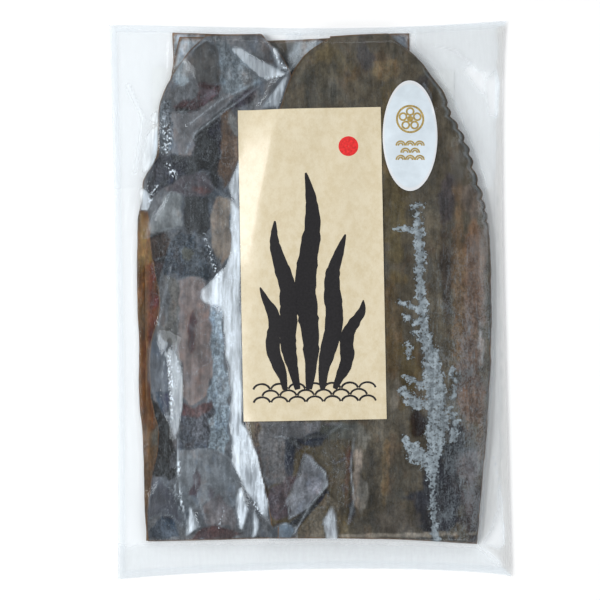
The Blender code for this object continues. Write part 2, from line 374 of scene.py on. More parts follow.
def settled(base, slope_x, slope_y, grip, pitch, reach):
    """The sheet that keeps the slopes as its grip says, and else stays within reach of its base.

    This is what taut film does over a filling: it is solved by conjugate gradients.
    """
    hold = (pitch / reach) ** 2
    grip_x = (grip[:, 1:] + grip[:, :-1]) / 2
    grip_y = (grip[1:] + grip[:-1]) / 2

    def pull(height):
        force = hold * height
        across = grip_x * (height[:, 1:] - height[:, :-1])
        along = grip_y * (height[1:] - height[:-1])
        force[:, 1:] += across
        force[:, :-1] -= across
        force[1:] += along
        force[:-1] -= along
        return force

    wanted = hold * base
    across = grip_x * (slope_x[:, 1:] + slope_x[:, :-1]) / 2 * pitch
    along = grip_y * (slope_y[1:] + slope_y[:-1]) / 2 * pitch
    wanted[:, 1:] += across
    wanted[:, :-1] -= across
    wanted[1:] += along
    wanted[:-1] -= along
    height = base.copy()
    left_over = wanted - pull(height)
    direction = left_over.copy()
    size = (left_over**2).sum()
    for _ in range(SETTLE_STEPS):
        moved = pull(direction)
        step = size / (direction * moved).sum()
        height += step * direction
        left_over -= step * moved
        new_size = (left_over**2).sum()
        direction = left_over + new_size / size * direction
        size = new_size
    return height


SETTLE_STEPS = 260
FACET_GRIP = 60.0
PANE_GRIP = 5.0
PANE_TILT = 0.06
PANE_SIZE = 13.0 * MM
MOST_SLOPE = 0.18
FRAME_SMOOTHING = 20
FRAME_DROP = 0.5 * MM
LEFT_TOP = 8.3 * MM
KELP_HEAD = 146.0 * MM
KELP_FOOT = -131.5 * MM
LEFT_FALL = 3.0 * MM
RIGHT_FALL = 7.0 * MM
END_FALL = 4.5 * MM
DULL_GLEAM = 0.24
MOST_HAZE = 0.10
# Strength and half width of the pale lines along creases, air-pocket rims and pane seams, which stand in for
# highlights: painted highlight.
PAINTED_CREASE_HIGHLIGHT = 0.48
CREASE_WIDTH = 0.7 * MM
PAINTED_SEAM_HIGHLIGHT = 0.16
SEAM_WIDTH = 0.7 * MM


def panes(x, y, size, seed):
    """A plane broken into straight-sided panes: three random values to a pane, and how far off its nearest seam is."""
    table = np.random.default_rng(seed).uniform(-1, 1, (32, 32, 5))
    across, along = x / size, y / (1.6 * size)
    column, row = np.floor(across).astype(int), np.floor(along).astype(int)
    nearest = np.full(x.shape, np.inf)
    second = np.full(x.shape, np.inf)
    values = np.zeros((*x.shape, 3))
    for i in (-1, 0, 1):
        for j in (-1, 0, 1):
            cell = table[(row + j) % 32, (column + i) % 32]
            away = np.hypot(
                column + i + 0.5 + 0.45 * cell[..., 3] - across, row + j + 0.5 + 0.45 * cell[..., 4] - along
            )
            closer = away < nearest
            second = np.where(closer, nearest, np.minimum(second, away))
            nearest = np.where(closer, away, nearest)
            values = np.where(closer[..., None], cell[..., :3], values)
    return values, (second - nearest) * size


def past_kelp(x, y):
    """How far each point is inside each side of the whole pile, negative outside it, and each side's fall."""
    left = x - side_line(SHEETS["kelp_left_back"]["left"], y)
    right = side_line(SHEETS["kelp_right_front"]["right"], y) - x
    return (left, LEFT_FALL), (right, RIGHT_FALL), (KELP_HEAD - y, END_FALL), (y - KELP_FOOT, END_FALL)


@lru_cache(maxsize=None)
def drape():
    """The heights of the film and the pile under it, and the film's haze, painted highlights and gleam, worked out
    once.
    """
    grid = Raster(FILM_PITCH)
    x, y = grid.x, grid.y
    pile = blurred(np.maximum(frame_heights("bag", x, y, 1) - FRAME_DROP, FLANGE_HEIGHT), FRAME_SMOOTHING)
    sides = past_kelp(x, y)
    depth = np.minimum.reduce([past for past, _ in sides])
    for past, fall in sides:
        pile = FLANGE_HEIGHT + (pile - FLANGE_HEIGHT) * eased(1 + past / fall)
    under = blurred(frame_heights("bag", x, y, -1), 4)
    filled = eased((pile - 2 * MM) / (4 * MM))
    stiff = stamp(label_outline(0), x, y, 4.0)
    slack = filled * (1 - 0.8 * stiff) * (0.5 + 0.5 * eased((20 * MM - x) / (60 * MM)))
    loose = slack * MM * (0.2 * lumps(x, y, 18 * MM, 3, 1.6) + 0.06 * lumps(x, y, 7 * MM, 4, 1.5))
    loose += (1 - filled) * MM * 0.06 * lumps(x, y, 14 * MM, 6, 1.4)
    restless = eased((-62 * MM - y) / (8 * MM)) * eased((30 * MM - x) / (12 * MM))
    restless = np.maximum(eased((-34 * MM - x) / (10 * MM)), restless) * eased((depth - 4 * MM) / (6 * MM))
    wander = 1.5 * MM * lumps(x, y, 6 * MM, 41)
    pane, seam = panes(x + wander, y + 2 * wander, PANE_SIZE, 12)
    haze_and_glare = np.zeros(x.shape)
    for line, height, width in CREASES:
        away = from_line(line, x, y)
        loose += height * MM * np.maximum(1 - away / (width * MM), 0)
        # Thin pale lines along each crease stand in for its highlight: painted highlight.
        haze_and_glare = np.maximum(haze_and_glare, PAINTED_CREASE_HIGHLIGHT * np.maximum(1 - away / CREASE_WIDTH, 0))
    for outline, lift, haze in AIR.values():
        loose += lift * MM * stamp(outline, x, y, 2.2)
        haze_and_glare = np.maximum(haze_and_glare, haze * stamp(outline, x, y, 0.5, 0.6, 21))
        rim = np.maximum(1 - np.abs(inside(outline, x, y)) / CREASE_WIDTH, 0)
        # Pale lines along the rims of the air pockets: painted highlight.
        haze_and_glare = haze_and_glare + 0.6 * PAINTED_CREASE_HIGHLIGHT * rim * eased(0.5 + 1.2 * lumps(x, y, 7 * MM, 33))
    shown = eased(0.5 + 1.4 * lumps(x, y, 8 * MM, 43))
    # Pale lines along the seams of the panes: painted highlight, over a small random haze of each pane.
    haze_and_glare = haze_and_glare + restless * (0.018 * (1 + pane[..., 2]) + PAINTED_SEAM_HIGHLIGHT * shown * np.maximum(1 - seam / SEAM_WIDTH, 0))
    margin = np.zeros(x.shape)
    for outline, haze in MARGIN_HAZE_AND_SHADE.values():
        margin = np.maximum(margin, haze * stamp(outline, x, y, 3.0, 1.0, 22))
    margin = margin * (1 - eased(0.5 + depth / (1.2 * MM)))
    glint = eased(0.5 + swath(GLINT_RUNS, x, y) / (1.2 * MM))
    slopes = []
    for axis, (rise, fold) in enumerate(zip(np.gradient(pile, grid.pitch), np.gradient(loose, grid.pitch))):
        slope = rise + fold + PANE_TILT * restless * pane[..., axis]
        slopes.append(np.where(depth > 0, np.clip(slope, -3 * MOST_SLOPE, MOST_SLOPE), slope))
    slope_y, slope_x = slopes
    bend = stamp(LABEL_SLOPE, x, y, 4.0)
    slope_x += bend * (LABEL_RISE - slope_x)
    grip = 1 + np.maximum(PANE_GRIP * eased(depth / (3 * MM)), FACET_GRIP * bend)
    gleam = DULL_GLEAM + (0.6 - DULL_GLEAM) * eased(-depth / (2 * MM)) * eased((x + 80 * MM) / (40 * MM))
    gleam = gleam * eased((y - KELP_FOOT + 2 * MM) / (3 * MM)) * eased((KELP_HEAD + 3 * MM - y) / (3 * MM))
    gleam = gleam * (0.3 + 0.7 * eased((x + 94 * MM) / (14 * MM)))
    # Each facet's haze, streaked by brushed, lays a whitish mist that stands in for its glare: painted highlight. A
    # facet with haze 0 clears the margin's haze instead, so the floor shows brighter there: painted highlight too.
    brushed = 0.95 + 0.25 * lumps(x, y, 3.6 * MM, 51, 7.0) + 0.15 * lumps(x, y, 5 * MM, 52, 3.0)
    for outline, rise_x, rise_y, shine, haze in FACETS.values():
        facet = stamp(outline, x, y, 0.45, 0.4, 53)
        haze_and_glare = np.maximum(haze_and_glare, haze * brushed * facet)
        margin = margin * (1 - facet * (haze == 0))
        slope_x += facet * (rise_x - slope_x)
        slope_y += facet * (rise_y - slope_y)
        grip = np.maximum(grip, 1 + FACET_GRIP * facet)
        gleam += facet * (shine - gleam)
    film = np.maximum(settled(pile + loose, slope_x, slope_y, grip, grid.pitch, SETTLE_REACH), FLANGE_HEIGHT)
    film = film + eased(-depth / (1.5 * MM)) * (blurred(film, 4) - film)
    film = film + eased((-depth - 2 * MM) / (5 * MM)) * (blurred(film, 40) - film)
    values = {"haze_and_glare": haze_and_glare, "margin": margin, "glint": glint, "gleam": gleam, "crinkle": restless}
    haze = blurred(np.minimum(haze_and_glare, MOST_HAZE), 3)
    return SimpleNamespace(grid=grid, pile=pile, under=under, film=film, haze=haze, values=values)


# ---------------------------------------------------------------------------
# Pieces

SHARP_RIM = radians(50)


def finish_piece(piece, material, replaces=()):
    """Gives a new piece its material, rides it on the bag, and hides the frame parts it replaces."""
    piece.data.materials.clear()
    piece.data.materials.append(material)
    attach(piece, "root")
    if replaces:
        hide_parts(*replaces)


def mesh_piece(name, corners, faces, values=None):
    """A smooth mesh object, with values that vary over its points for its material."""
    mesh = bpy.data.meshes.new(name)
    mesh.from_pydata(corners, [], faces)
    mesh.validate()
    mesh.shade_smooth()
    for key, value in (values or {}).items():
        value = np.asarray(value, np.float32)
        if value.ndim == 2:
            colour = np.ones((len(value), 4), np.float32)
            colour[:, :3] = value
            mesh.attributes.new(key, "FLOAT_COLOR", "POINT").data.foreach_set("color", colour.ravel())
        else:
            mesh.attributes.new(key, "FLOAT", "POINT").data.foreach_set("value", value)
    piece = bpy.data.objects.new(name, mesh)
    bpy.context.scene.collection.objects.link(piece)
    return piece


def grid_faces(rows, columns, start=0, turned=False):
    """The four-sided faces of a grid of points, row by row, facing up or turned to face down."""
    first = (np.arange(rows - 1)[:, None] * columns + np.arange(columns - 1)).ravel() + start
    corners = (first, first + 1, first + columns + 1, first + columns)
    if turned:
        corners = corners[::-1]
    return np.stack(corners, axis=1).tolist()


def points_of(x, y, z):
    return np.stack((x.ravel(), y.ravel(), z.ravel()), axis=1).tolist()


def sheet_piece(name, x, y, z, values=None):
    """An open sheet through a grid of points."""
    values = {key: np.reshape(value, (x.size, -1)).squeeze() for key, value in (values or {}).items()}
    return mesh_piece(name, points_of(x, y, z), grid_faces(*x.shape), values)


def slab_piece(name, x, y, top, under, values=None):
    """A closed slab between two heights over a grid of points."""
    rows, columns = x.shape
    index = np.arange(x.size).reshape(x.shape)
    rim = np.concatenate((index[0], index[1:, -1], index[-1, -2::-1], index[-2:0:-1, 0]))
    after = np.roll(rim, -1)
    walls = np.stack((rim, rim + x.size, after + x.size, after), axis=1).tolist()
    faces = grid_faces(rows, columns) + grid_faces(rows, columns, x.size, True) + walls
    values = {
        key: np.tile(np.reshape(value, (x.size, -1)), (2, 1)).squeeze() for key, value in (values or {}).items()
    }
    piece = mesh_piece(name, points_of(x, y, top) + points_of(x, y, under), faces, values)
    piece.data.set_sharp_from_angle(angle=SHARP_RIM)
    return piece


# ---------------------------------------------------------------------------
# Shader nodes

def shader(tree, kind, sockets=None, **settings):
    """A node of a kind, with its settings made and its inputs set or linked."""
    made = tree.nodes.new("ShaderNode" + kind)
    for name, value in settings.items():
        setattr(made, name, value)
    for key, value in (sockets or {}).items():
        socket = made.inputs[key]
        if isinstance(value, bpy.types.NodeSocket):
            tree.links.new(value, socket)
        elif socket.type == "RGBA":
            socket.default_value = (*value[:3], 1.0)
        else:
            socket.default_value = value
    return made


def figure(tree, operation, a, b=0.0, clamp=False):
    return shader(tree, "Math", {0: a, 1: b}, operation=operation, use_clamp=clamp).outputs[0]


def span(tree, value, low, high, start=0.0, end=1.0):
    """The value eased from start at low to end at high."""
    sockets = {"Value": value, "From Min": low, "From Max": high, "To Min": start, "To Max": end}
    return shader(tree, "MapRange", sockets, interpolation_type="SMOOTHSTEP").outputs["Result"]


def mixed(tree, share, first, second, blend="MIX"):
    sockets = {0: share, 6: first, 7: second}
    return shader(tree, "Mix", sockets, data_type="RGBA", blend_type=blend).outputs[2]


def grain(tree, place, size, detail=4.0, stretch=(1, 1, 1), roughness=0.5, offset=0.0):
    """Noise from 0 to 1 with grains of a size, in metres, drawn out by stretch."""
    scale = tuple(1 / (size * part) for part in stretch)
    put = shader(tree, "Mapping", {"Vector": place, "Scale": scale, "Location": (offset, offset, offset)})
    sockets = {"Vector": put.outputs[0], "Scale": 1.0, "Detail": detail, "Roughness": roughness}
    return shader(tree, "TexNoise", sockets).outputs["Fac"]


def attribute(tree, name, output="Fac"):
    return shader(tree, "Attribute", attribute_name=name).outputs[output]


def place_of(tree):
    return shader(tree, "TexCoord").outputs["Object"]


def effect_group(name, inputs, outputs):
    """A new shader node group with named inputs and outputs, and its two end nodes."""
    tree = bpy.data.node_groups.new(name, "ShaderNodeTree")
    kinds = {"colour": "NodeSocketColor", "number": "NodeSocketFloat", "vector": "NodeSocketVector"}
    for side, sockets in (("INPUT", inputs), ("OUTPUT", outputs)):
        for socket, kind in sockets.items():
            tree.interface.new_socket(socket, in_out=side, socket_type=kinds[kind])
    return tree, tree.nodes.new("NodeGroupInput"), tree.nodes.new("NodeGroupOutput")


def join(tree, end, **sockets):
    for name, socket in sockets.items():
        tree.links.new(socket, end.inputs[name])


def placed(tree, group, sockets):
    """A group placed in a material, with its inputs set or linked."""
    made = tree.nodes.new("ShaderNodeGroup")
    made.node_tree = group
    for key, value in sockets.items():
        if isinstance(value, bpy.types.NodeSocket):
            tree.links.new(value, made.inputs[key])
        elif made.inputs[key].type == "RGBA":
            made.inputs[key].default_value = (*value[:3], 1.0)
        else:
            made.inputs[key].default_value = value
    return made.outputs


def blank_material(name):
    material = bpy.data.materials.new(name)
    material.use_nodes = True
    material.node_tree.nodes.clear()
    return material, material.node_tree


def show(tree, surface):
    tree.links.new(surface, shader(tree, "OutputMaterial").inputs["Surface"])


def bump(tree, height, distance, strength=1.0):
    return shader(tree, "Bump", {"Height": height, "Distance": distance, "Strength": strength}).outputs[0]


@lru_cache(maxsize=None)
def kelp_skin():
    """Dried kelp: mottled, streaked along its length, speckled where the film clings, and dusted with its bloom."""
    inputs = {
        "Tint": "colour", "Mottle": "number", "Cling": "number", "Bloom": "number", "Dust": "number",
        "Bloom Colour": "colour", "Place": "vector",
    }
    outputs = {"Color": "colour", "Roughness": "number", "Height": "number"}
    tree, start, end = effect_group("Kelp skin", inputs, outputs)
    place, mottle, cling = start.outputs["Place"], start.outputs["Mottle"], start.outputs["Cling"]

    def times(first, second):
        return figure(tree, "MULTIPLY", first, second)

    def plus(first, second):
        return figure(tree, "ADD", first, second)

    def centred(value, scale=1.0):
        return times(figure(tree, "SUBTRACT", value, 0.5), scale)

    cloud = grain(tree, place, 7 * MM, 8.0, (1, 1.6, 1), 0.62)
    streak = grain(tree, place, 2.4 * MM, 4.0, (1, 12, 1), 0.55, 7.0)
    speck = grain(tree, place, 1.5 * MM, 5.0, (1, 1.3, 1), 0.7, 3.0)
    fold = figure(tree, "ABSOLUTE", centred(grain(tree, place, 4.2 * MM, 3.0, (1, 1.8, 1), 0.55, 13.0)))
    shade = times(plus(1.0, times(span(tree, cloud, 0.34, 0.66, -1.0, 1.0), mottle)), span(tree, streak, 0.3, 0.7, 0.8, 1.2))
    shade = times(shade, plus(1.0, times(span(tree, speck, 0.38, 0.62, -1.0, 1.0), plus(0.07, times(cling, 0.55)))))
    shade = times(shade, plus(1.0, times(span(tree, fold, 0.0, 0.03, -0.7, 0.0), cling)))
    skin = mixed(tree, 1.0, start.outputs["Tint"], shade, "MULTIPLY")
    ruddy = times(span(tree, grain(tree, place, 7 * MM, 5.0, (1, 1.8, 1), 0.6, 23.0), 0.52, 0.68, 0.0, 1.4), mottle)
    skin = mixed(tree, ruddy, skin, mixed(tree, 1.0, skin, (1.22, 0.94, 0.80), "MULTIPLY"))
    bluish = times(span(tree, grain(tree, place, 8 * MM, 5.0, (1, 1.6, 1), 0.6, 31.0), 0.52, 0.68, 0.0, 1.2), mottle)
    skin = mixed(tree, bluish, skin, mixed(tree, 1.0, skin, (0.86, 1.03, 1.26), "MULTIPLY"))
    powder = grain(tree, place, 0.8 * MM, 5.0, (1, 1.6, 1), 0.75, 11.0)
    drift = plus(powder, centred(grain(tree, place, 11 * MM, 5.0, (1, 2.2, 1), 0.65, 5.0), 1.1))
    dust = times(span(tree, drift, 0.50, 0.60), start.outputs["Dust"])
    dust = figure(tree, "ADD", dust, times(span(tree, powder, 0.64, 0.70), times(cling, 0.6)), True)
    web = figure(tree, "ABSOLUTE", centred(grain(tree, place, 3.4 * MM, 5.0, (1, 1.4, 1), 0.66, 37.0)))
    thread = times(span(tree, web, 0.0, 0.02, 0.8, 0.0), span(tree, start.outputs["Dust"], 0.15, 0.5))
    dust = figure(tree, "MAXIMUM", dust, thread)
    sweep = span(tree, grain(tree, place, 1.6 * MM, 5.0, (1, 6, 1), 0.7, 43.0), 0.54, 0.66)
    dust = figure(tree, "ADD", dust, times(sweep, times(start.outputs["Dust"], 1.1)), True)
    skin = mixed(tree, dust, skin, start.outputs["Bloom Colour"])
    crumb = grain(tree, place, 1.3 * MM, 4.0, (1, 1, 1), 0.7, 17.0)
    clump = grain(tree, place, 3.6 * MM, 6.0, (1, 1, 1), 0.6, 19.0)
    ragged = plus(plus(centred(crumb, 1.0), centred(clump, 1.7)), centred(powder, 1.1))
    crust = span(tree, plus(start.outputs["Bloom"], ragged), 0.5, 0.55)
    crust = times(crust, span(tree, crumb, 0.38, 0.43, 0.15, 1.0))
    pale = mixed(tree, 1.0, start.outputs["Bloom Colour"], span(tree, clump, 0.35, 0.65, 0.6, 1.3), "MULTIPLY")
    pale = mixed(tree, 1.0, pale, span(tree, streak, 0.3, 0.7, 0.75, 1.25), "MULTIPLY")
    skin = mixed(tree, times(crust, 0.92), skin, pale)
    relief = plus(times(cloud, 0.4), plus(times(streak, 0.1), times(speck, plus(0.1, times(cling, 0.25)))))
    relief = plus(relief, times(crust, times(crumb, 0.35)))
    rough = figure(tree, "ADD", 0.36, times(figure(tree, "MAXIMUM", crust, dust), 0.4), True)
    join(tree, end, Color=skin, Roughness=rough, Height=relief)
    return tree


def kelp_material(name, bloom_colour, mottle, relief):
    material, tree = blank_material(name)
    skin = placed(tree, kelp_skin(), {
        "Tint": attribute(tree, "tint", "Color"), "Bloom": attribute(tree, "bloom"), "Dust": attribute(tree, "dust"),
        "Cling": attribute(tree, "cling"), "Mottle": mottle, "Bloom Colour": bloom_colour, "Place": place_of(tree),
    })
    sockets = {
        "Base Color": skin["Color"], "Roughness": skin["Roughness"], "Normal": bump(tree, skin["Height"], relief),
        "Specular IOR Level": 0.22,
    }
    show(tree, shader(tree, "BsdfPrincipled", sockets).outputs[0])
    return material


@lru_cache(maxsize=None)
def paper_fibre():
    """Uncoated paper: a tint mottled in soft clouds and fine fibres, with a faint tooth."""
    inputs = {"Tint": "colour", "Shade": "colour", "Clouds": "number", "Place": "vector"}
    outputs = {"Color": "colour", "Roughness": "number", "Height": "number"}
    tree, start, end = effect_group("Paper fibre", inputs, outputs)
    place = start.outputs["Place"]
    cloud = grain(tree, place, 5 * MM, 9.0, (1, 1.3, 1), 0.75)
    fibre = grain(tree, place, 0.6 * MM, 3.0, (1, 1.6, 1), 0.6, 9.0)
    share = figure(tree, "MULTIPLY", span(tree, cloud, 0.34, 0.68), start.outputs["Clouds"])
    share = figure(tree, "ADD", share, figure(tree, "MULTIPLY", figure(tree, "SUBTRACT", fibre, 0.5), 0.9), True)
    colour = mixed(tree, share, start.outputs["Tint"], start.outputs["Shade"])
    rough = span(tree, fibre, 0.3, 0.7, 0.3, 0.4)
    join(tree, end, Color=colour, Roughness=rough, Height=fibre)
    return tree


def paper_material(name, tint, shade, clouds):
    material, tree = blank_material(name)
    paper = placed(tree, paper_fibre(), {"Tint": tint, "Shade": shade, "Clouds": clouds, "Place": place_of(tree)})
    sockets = {
        "Base Color": paper["Color"], "Roughness": paper["Roughness"],
        "Normal": bump(tree, paper["Height"], 0.02 * MM), "Coat Weight": 0.35, "Coat Roughness": 0.16,
    }
    show(tree, shader(tree, "BsdfPrincipled", sockets).outputs[0])
    return material


def ink_material(name, colour, roughness, metallic=0.0):
    """Printing ink or foil, thinner in places where the brush ran dry."""
    material, tree = blank_material(name)
    place = place_of(tree)
    worn = span(tree, grain(tree, place, 1.1 * MM, 5.0, (1, 1, 1), 0.6), 0.3, 0.75, 1.0, 1.7)
    sockets = {
        "Base Color": mixed(tree, 1.0, colour, worn, "MULTIPLY"), "Roughness": roughness, "Metallic": metallic,
        "Normal": bump(tree, grain(tree, place, 0.6 * MM), 0.01 * MM),
    }
    show(tree, shader(tree, "BsdfPrincipled", sockets).outputs[0])
    return material


FILM_IOR = 1.5
MARGIN_MIST = (0.79, 0.84, 0.875)
# Grey the mist turns where the margin's haze is deepest, on the right flange: painted shade of the pile.
SHADE_GREY_MIST = (0.68, 0.68, 0.67)


def film_material(name, tint, mist, gloss):
    """Clear film: mostly seen through, clouded where its haze says, whitened where its painted highlights lie and
    greyed where its margin haze paints shade, with a sharp gleam where it is taut.
    """
    material, tree = blank_material(name)
    place = place_of(tree)
    rim = attribute(tree, "rim")
    ribs = figure(tree, "SINE", figure(tree, "MULTIPLY", rim, 2 * pi / WELD_RIB))
    weld = span(tree, rim, WELD_WIDTH, WELD_WIDTH - 0.6 * MM)
    creep = figure(tree, "MULTIPLY", grain(tree, place, 7 * MM, 3.0, (1, 1.7, 1)), 0.09 * MM)
    tiny = figure(tree, "MULTIPLY", grain(tree, place, 1.6 * MM, 2.0, (1, 2.2, 1), 0.5, 5.0), 0.012 * MM)
    ripple = figure(tree, "MULTIPLY", figure(tree, "ADD", creep, tiny), span(tree, attribute(tree, "gleam"), 0.0, 0.08))
    height = figure(tree, "ADD", ripple, figure(tree, "MULTIPLY", figure(tree, "MULTIPLY", ribs, weld), 0.03 * MM))
    normal = bump(tree, height, 1.0)
    clear = shader(tree, "BsdfTransparent", {"Color": tint})
    mist = mixed(tree, span(tree, attribute(tree, "margin"), 0.0, 0.1), mist, MARGIN_MIST)
    # Deep margin haze turns the mist grey: painted shade of the pile on the right flange.
    mist = mixed(tree, span(tree, attribute(tree, "margin"), 0.3, 0.5), mist, SHADE_GREY_MIST)
    lit = shader(tree, "BsdfDiffuse", {"Color": mist, "Normal": normal})
    through = shader(tree, "BsdfTranslucent", {"Color": mist, "Normal": normal})
    shine = shader(tree, "BsdfGlossy", {"Color": (0.9, 0.96, 1), "Roughness": 0.06, "Normal": normal})
    strand = grain(tree, place, 2.2 * MM, 5.0, (1, 7, 1), 0.65, 8.0)
    brushed = figure(tree, "MULTIPLY", attribute(tree, "haze_and_glare"), span(tree, strand, 0.3, 0.7, 0.7, 1.3))
    even = figure(tree, "MULTIPLY", attribute(tree, "margin"), span(tree, strand, 0.3, 0.7, 0.94, 1.06))
    haze_and_glare = figure(tree, "ADD", brushed, even)
    specks = span(tree, grain(tree, place, 1.1 * MM, 3.0, (1, 1.4, 1), 0.6, 4.0), 0.52, 0.60, 0.0, 0.9)
    haze_and_glare = figure(tree, "ADD", haze_and_glare, figure(tree, "MULTIPLY", attribute(tree, "glint"), specks))
    # Thin white lines where the film is crinkled stand in for glints along its fine creases: painted highlight.
    fold = figure(tree, "SUBTRACT", grain(tree, place, 7 * MM, 4.0, (1, 1.6, 1), 0.6, 15.0), 0.5)
    line = span(tree, figure(tree, "ABSOLUTE", fold), 0.0, 0.011, 0.2, 0.0)
    haze_and_glare = figure(tree, "ADD", haze_and_glare, figure(tree, "MULTIPLY", attribute(tree, "crinkle"), line))
    haze_and_glare = figure(tree, "ADD", haze_and_glare, figure(tree, "MULTIPLY", weld, 0.10), True)
    thin = span(tree, haze_and_glare, 0.3, 0.8, 0.5, 0.05)
    cloudy = shader(tree, "MixShader", {0: thin, 1: lit.outputs[0], 2: through.outputs[0]})
    body = shader(tree, "MixShader", {0: haze_and_glare, 1: clear.outputs[0], 2: cloudy.outputs[0]})
    behind = tree.nodes.new("ShaderNodeNewGeometry").outputs["Backfacing"]
    ior = span(tree, behind, 0.0, 1.0, FILM_IOR, 1 / FILM_IOR)
    fresnel = shader(tree, "Fresnel", {"IOR": ior, "Normal": normal}).outputs[0]
    share = figure(tree, "MULTIPLY", figure(tree, "MULTIPLY", fresnel, gloss), attribute(tree, "gleam"), True)
    show(tree, shader(tree, "MixShader", {0: share, 1: body.outputs[0], 2: shine.outputs[0]}).outputs[0])
    return material


# ---------------------------------------------------------------------------
# The film's pieces

WELD_RIB = 0.95 * MM
WELD_WIDTH = 4.2 * MM
FRONT_COLUMNS = 244
FRONT_ROWS = 336
BACK_COLUMNS = 96
BACK_ROWS = 132
WELD_GAP = 0.04 * MM


def bag_grid(columns, rows):
    """The plan of an even grid over the bag, and each point's distance from the bag's rim."""
    u, v = np.meshgrid(np.linspace(0, 1, columns), np.linspace(0, 1, rows))
    x, y = bag_plan(u, v)
    sides = np.minimum(x - bag_plan(0 * u, v)[0], bag_plan(0 * u + 1, v)[0] - x)
    ends = np.minimum(y - bag_plan(u, 0 * v)[1], bag_plan(u, 0 * v + 1)[1] - y)
    return x, y, np.minimum(sides, ends)


def build_film(settings):
    shape = drape()
    front = film_material("Clear film", settings.film_tint, settings.film_mist, 1.3)
    rear = film_material("Clear film behind", settings.film_tint, settings.film_mist, 1.0)
    x, y, rim = bag_grid(FRONT_COLUMNS, FRONT_ROWS)
    lift = eased(rim / (9 * MM))
    z = FLANGE_HEIGHT + WELD_GAP + lift * (shape.grid.sample(shape.film, x, y) - FLANGE_HEIGHT)
    values = {name: shape.grid.sample(field, x, y) for name, field in shape.values.items()}
    piece = sheet_piece("film_front", x, y, z, {**values, "rim": rim})
    finish_piece(piece, front, ("bag",))
    x, y, rim = bag_grid(BACK_COLUMNS, BACK_ROWS)
    z = shape.grid.sample(shape.under, x, y)
    z = FLANGE_HEIGHT - WELD_GAP + eased(rim / (6 * MM)) * (np.minimum(z, FLANGE_HEIGHT) - FLANGE_HEIGHT)
    flat = eased((rim - 16 * MM) / (6 * MM))
    values = {"haze_and_glare": 0 * rim, "margin": 0 * rim + 0.03, "glint": 0 * rim, "crinkle": 0 * rim, "gleam": 0.5 * flat}
    values["rim"] = rim
    back = sheet_piece("film_back", x, y, np.maximum(z, 0), values)
    finish_piece(back, rear)


# ---------------------------------------------------------------------------
# The kelp

FILM_GLEAM = (0.012, 0.013, 0.015)
SEEN_SHARE = 0.97
LEAST_TONE = 0.006


def under_film(seen, haze):
    """The colour of kelp that looks, under the film and its haze, like a colour."""
    gleam = np.array(FILM_GLEAM) + haze[..., None]
    return np.maximum(seen - gleam, LEAST_TONE) / (SEEN_SHARE * (1 - haze[..., None]))


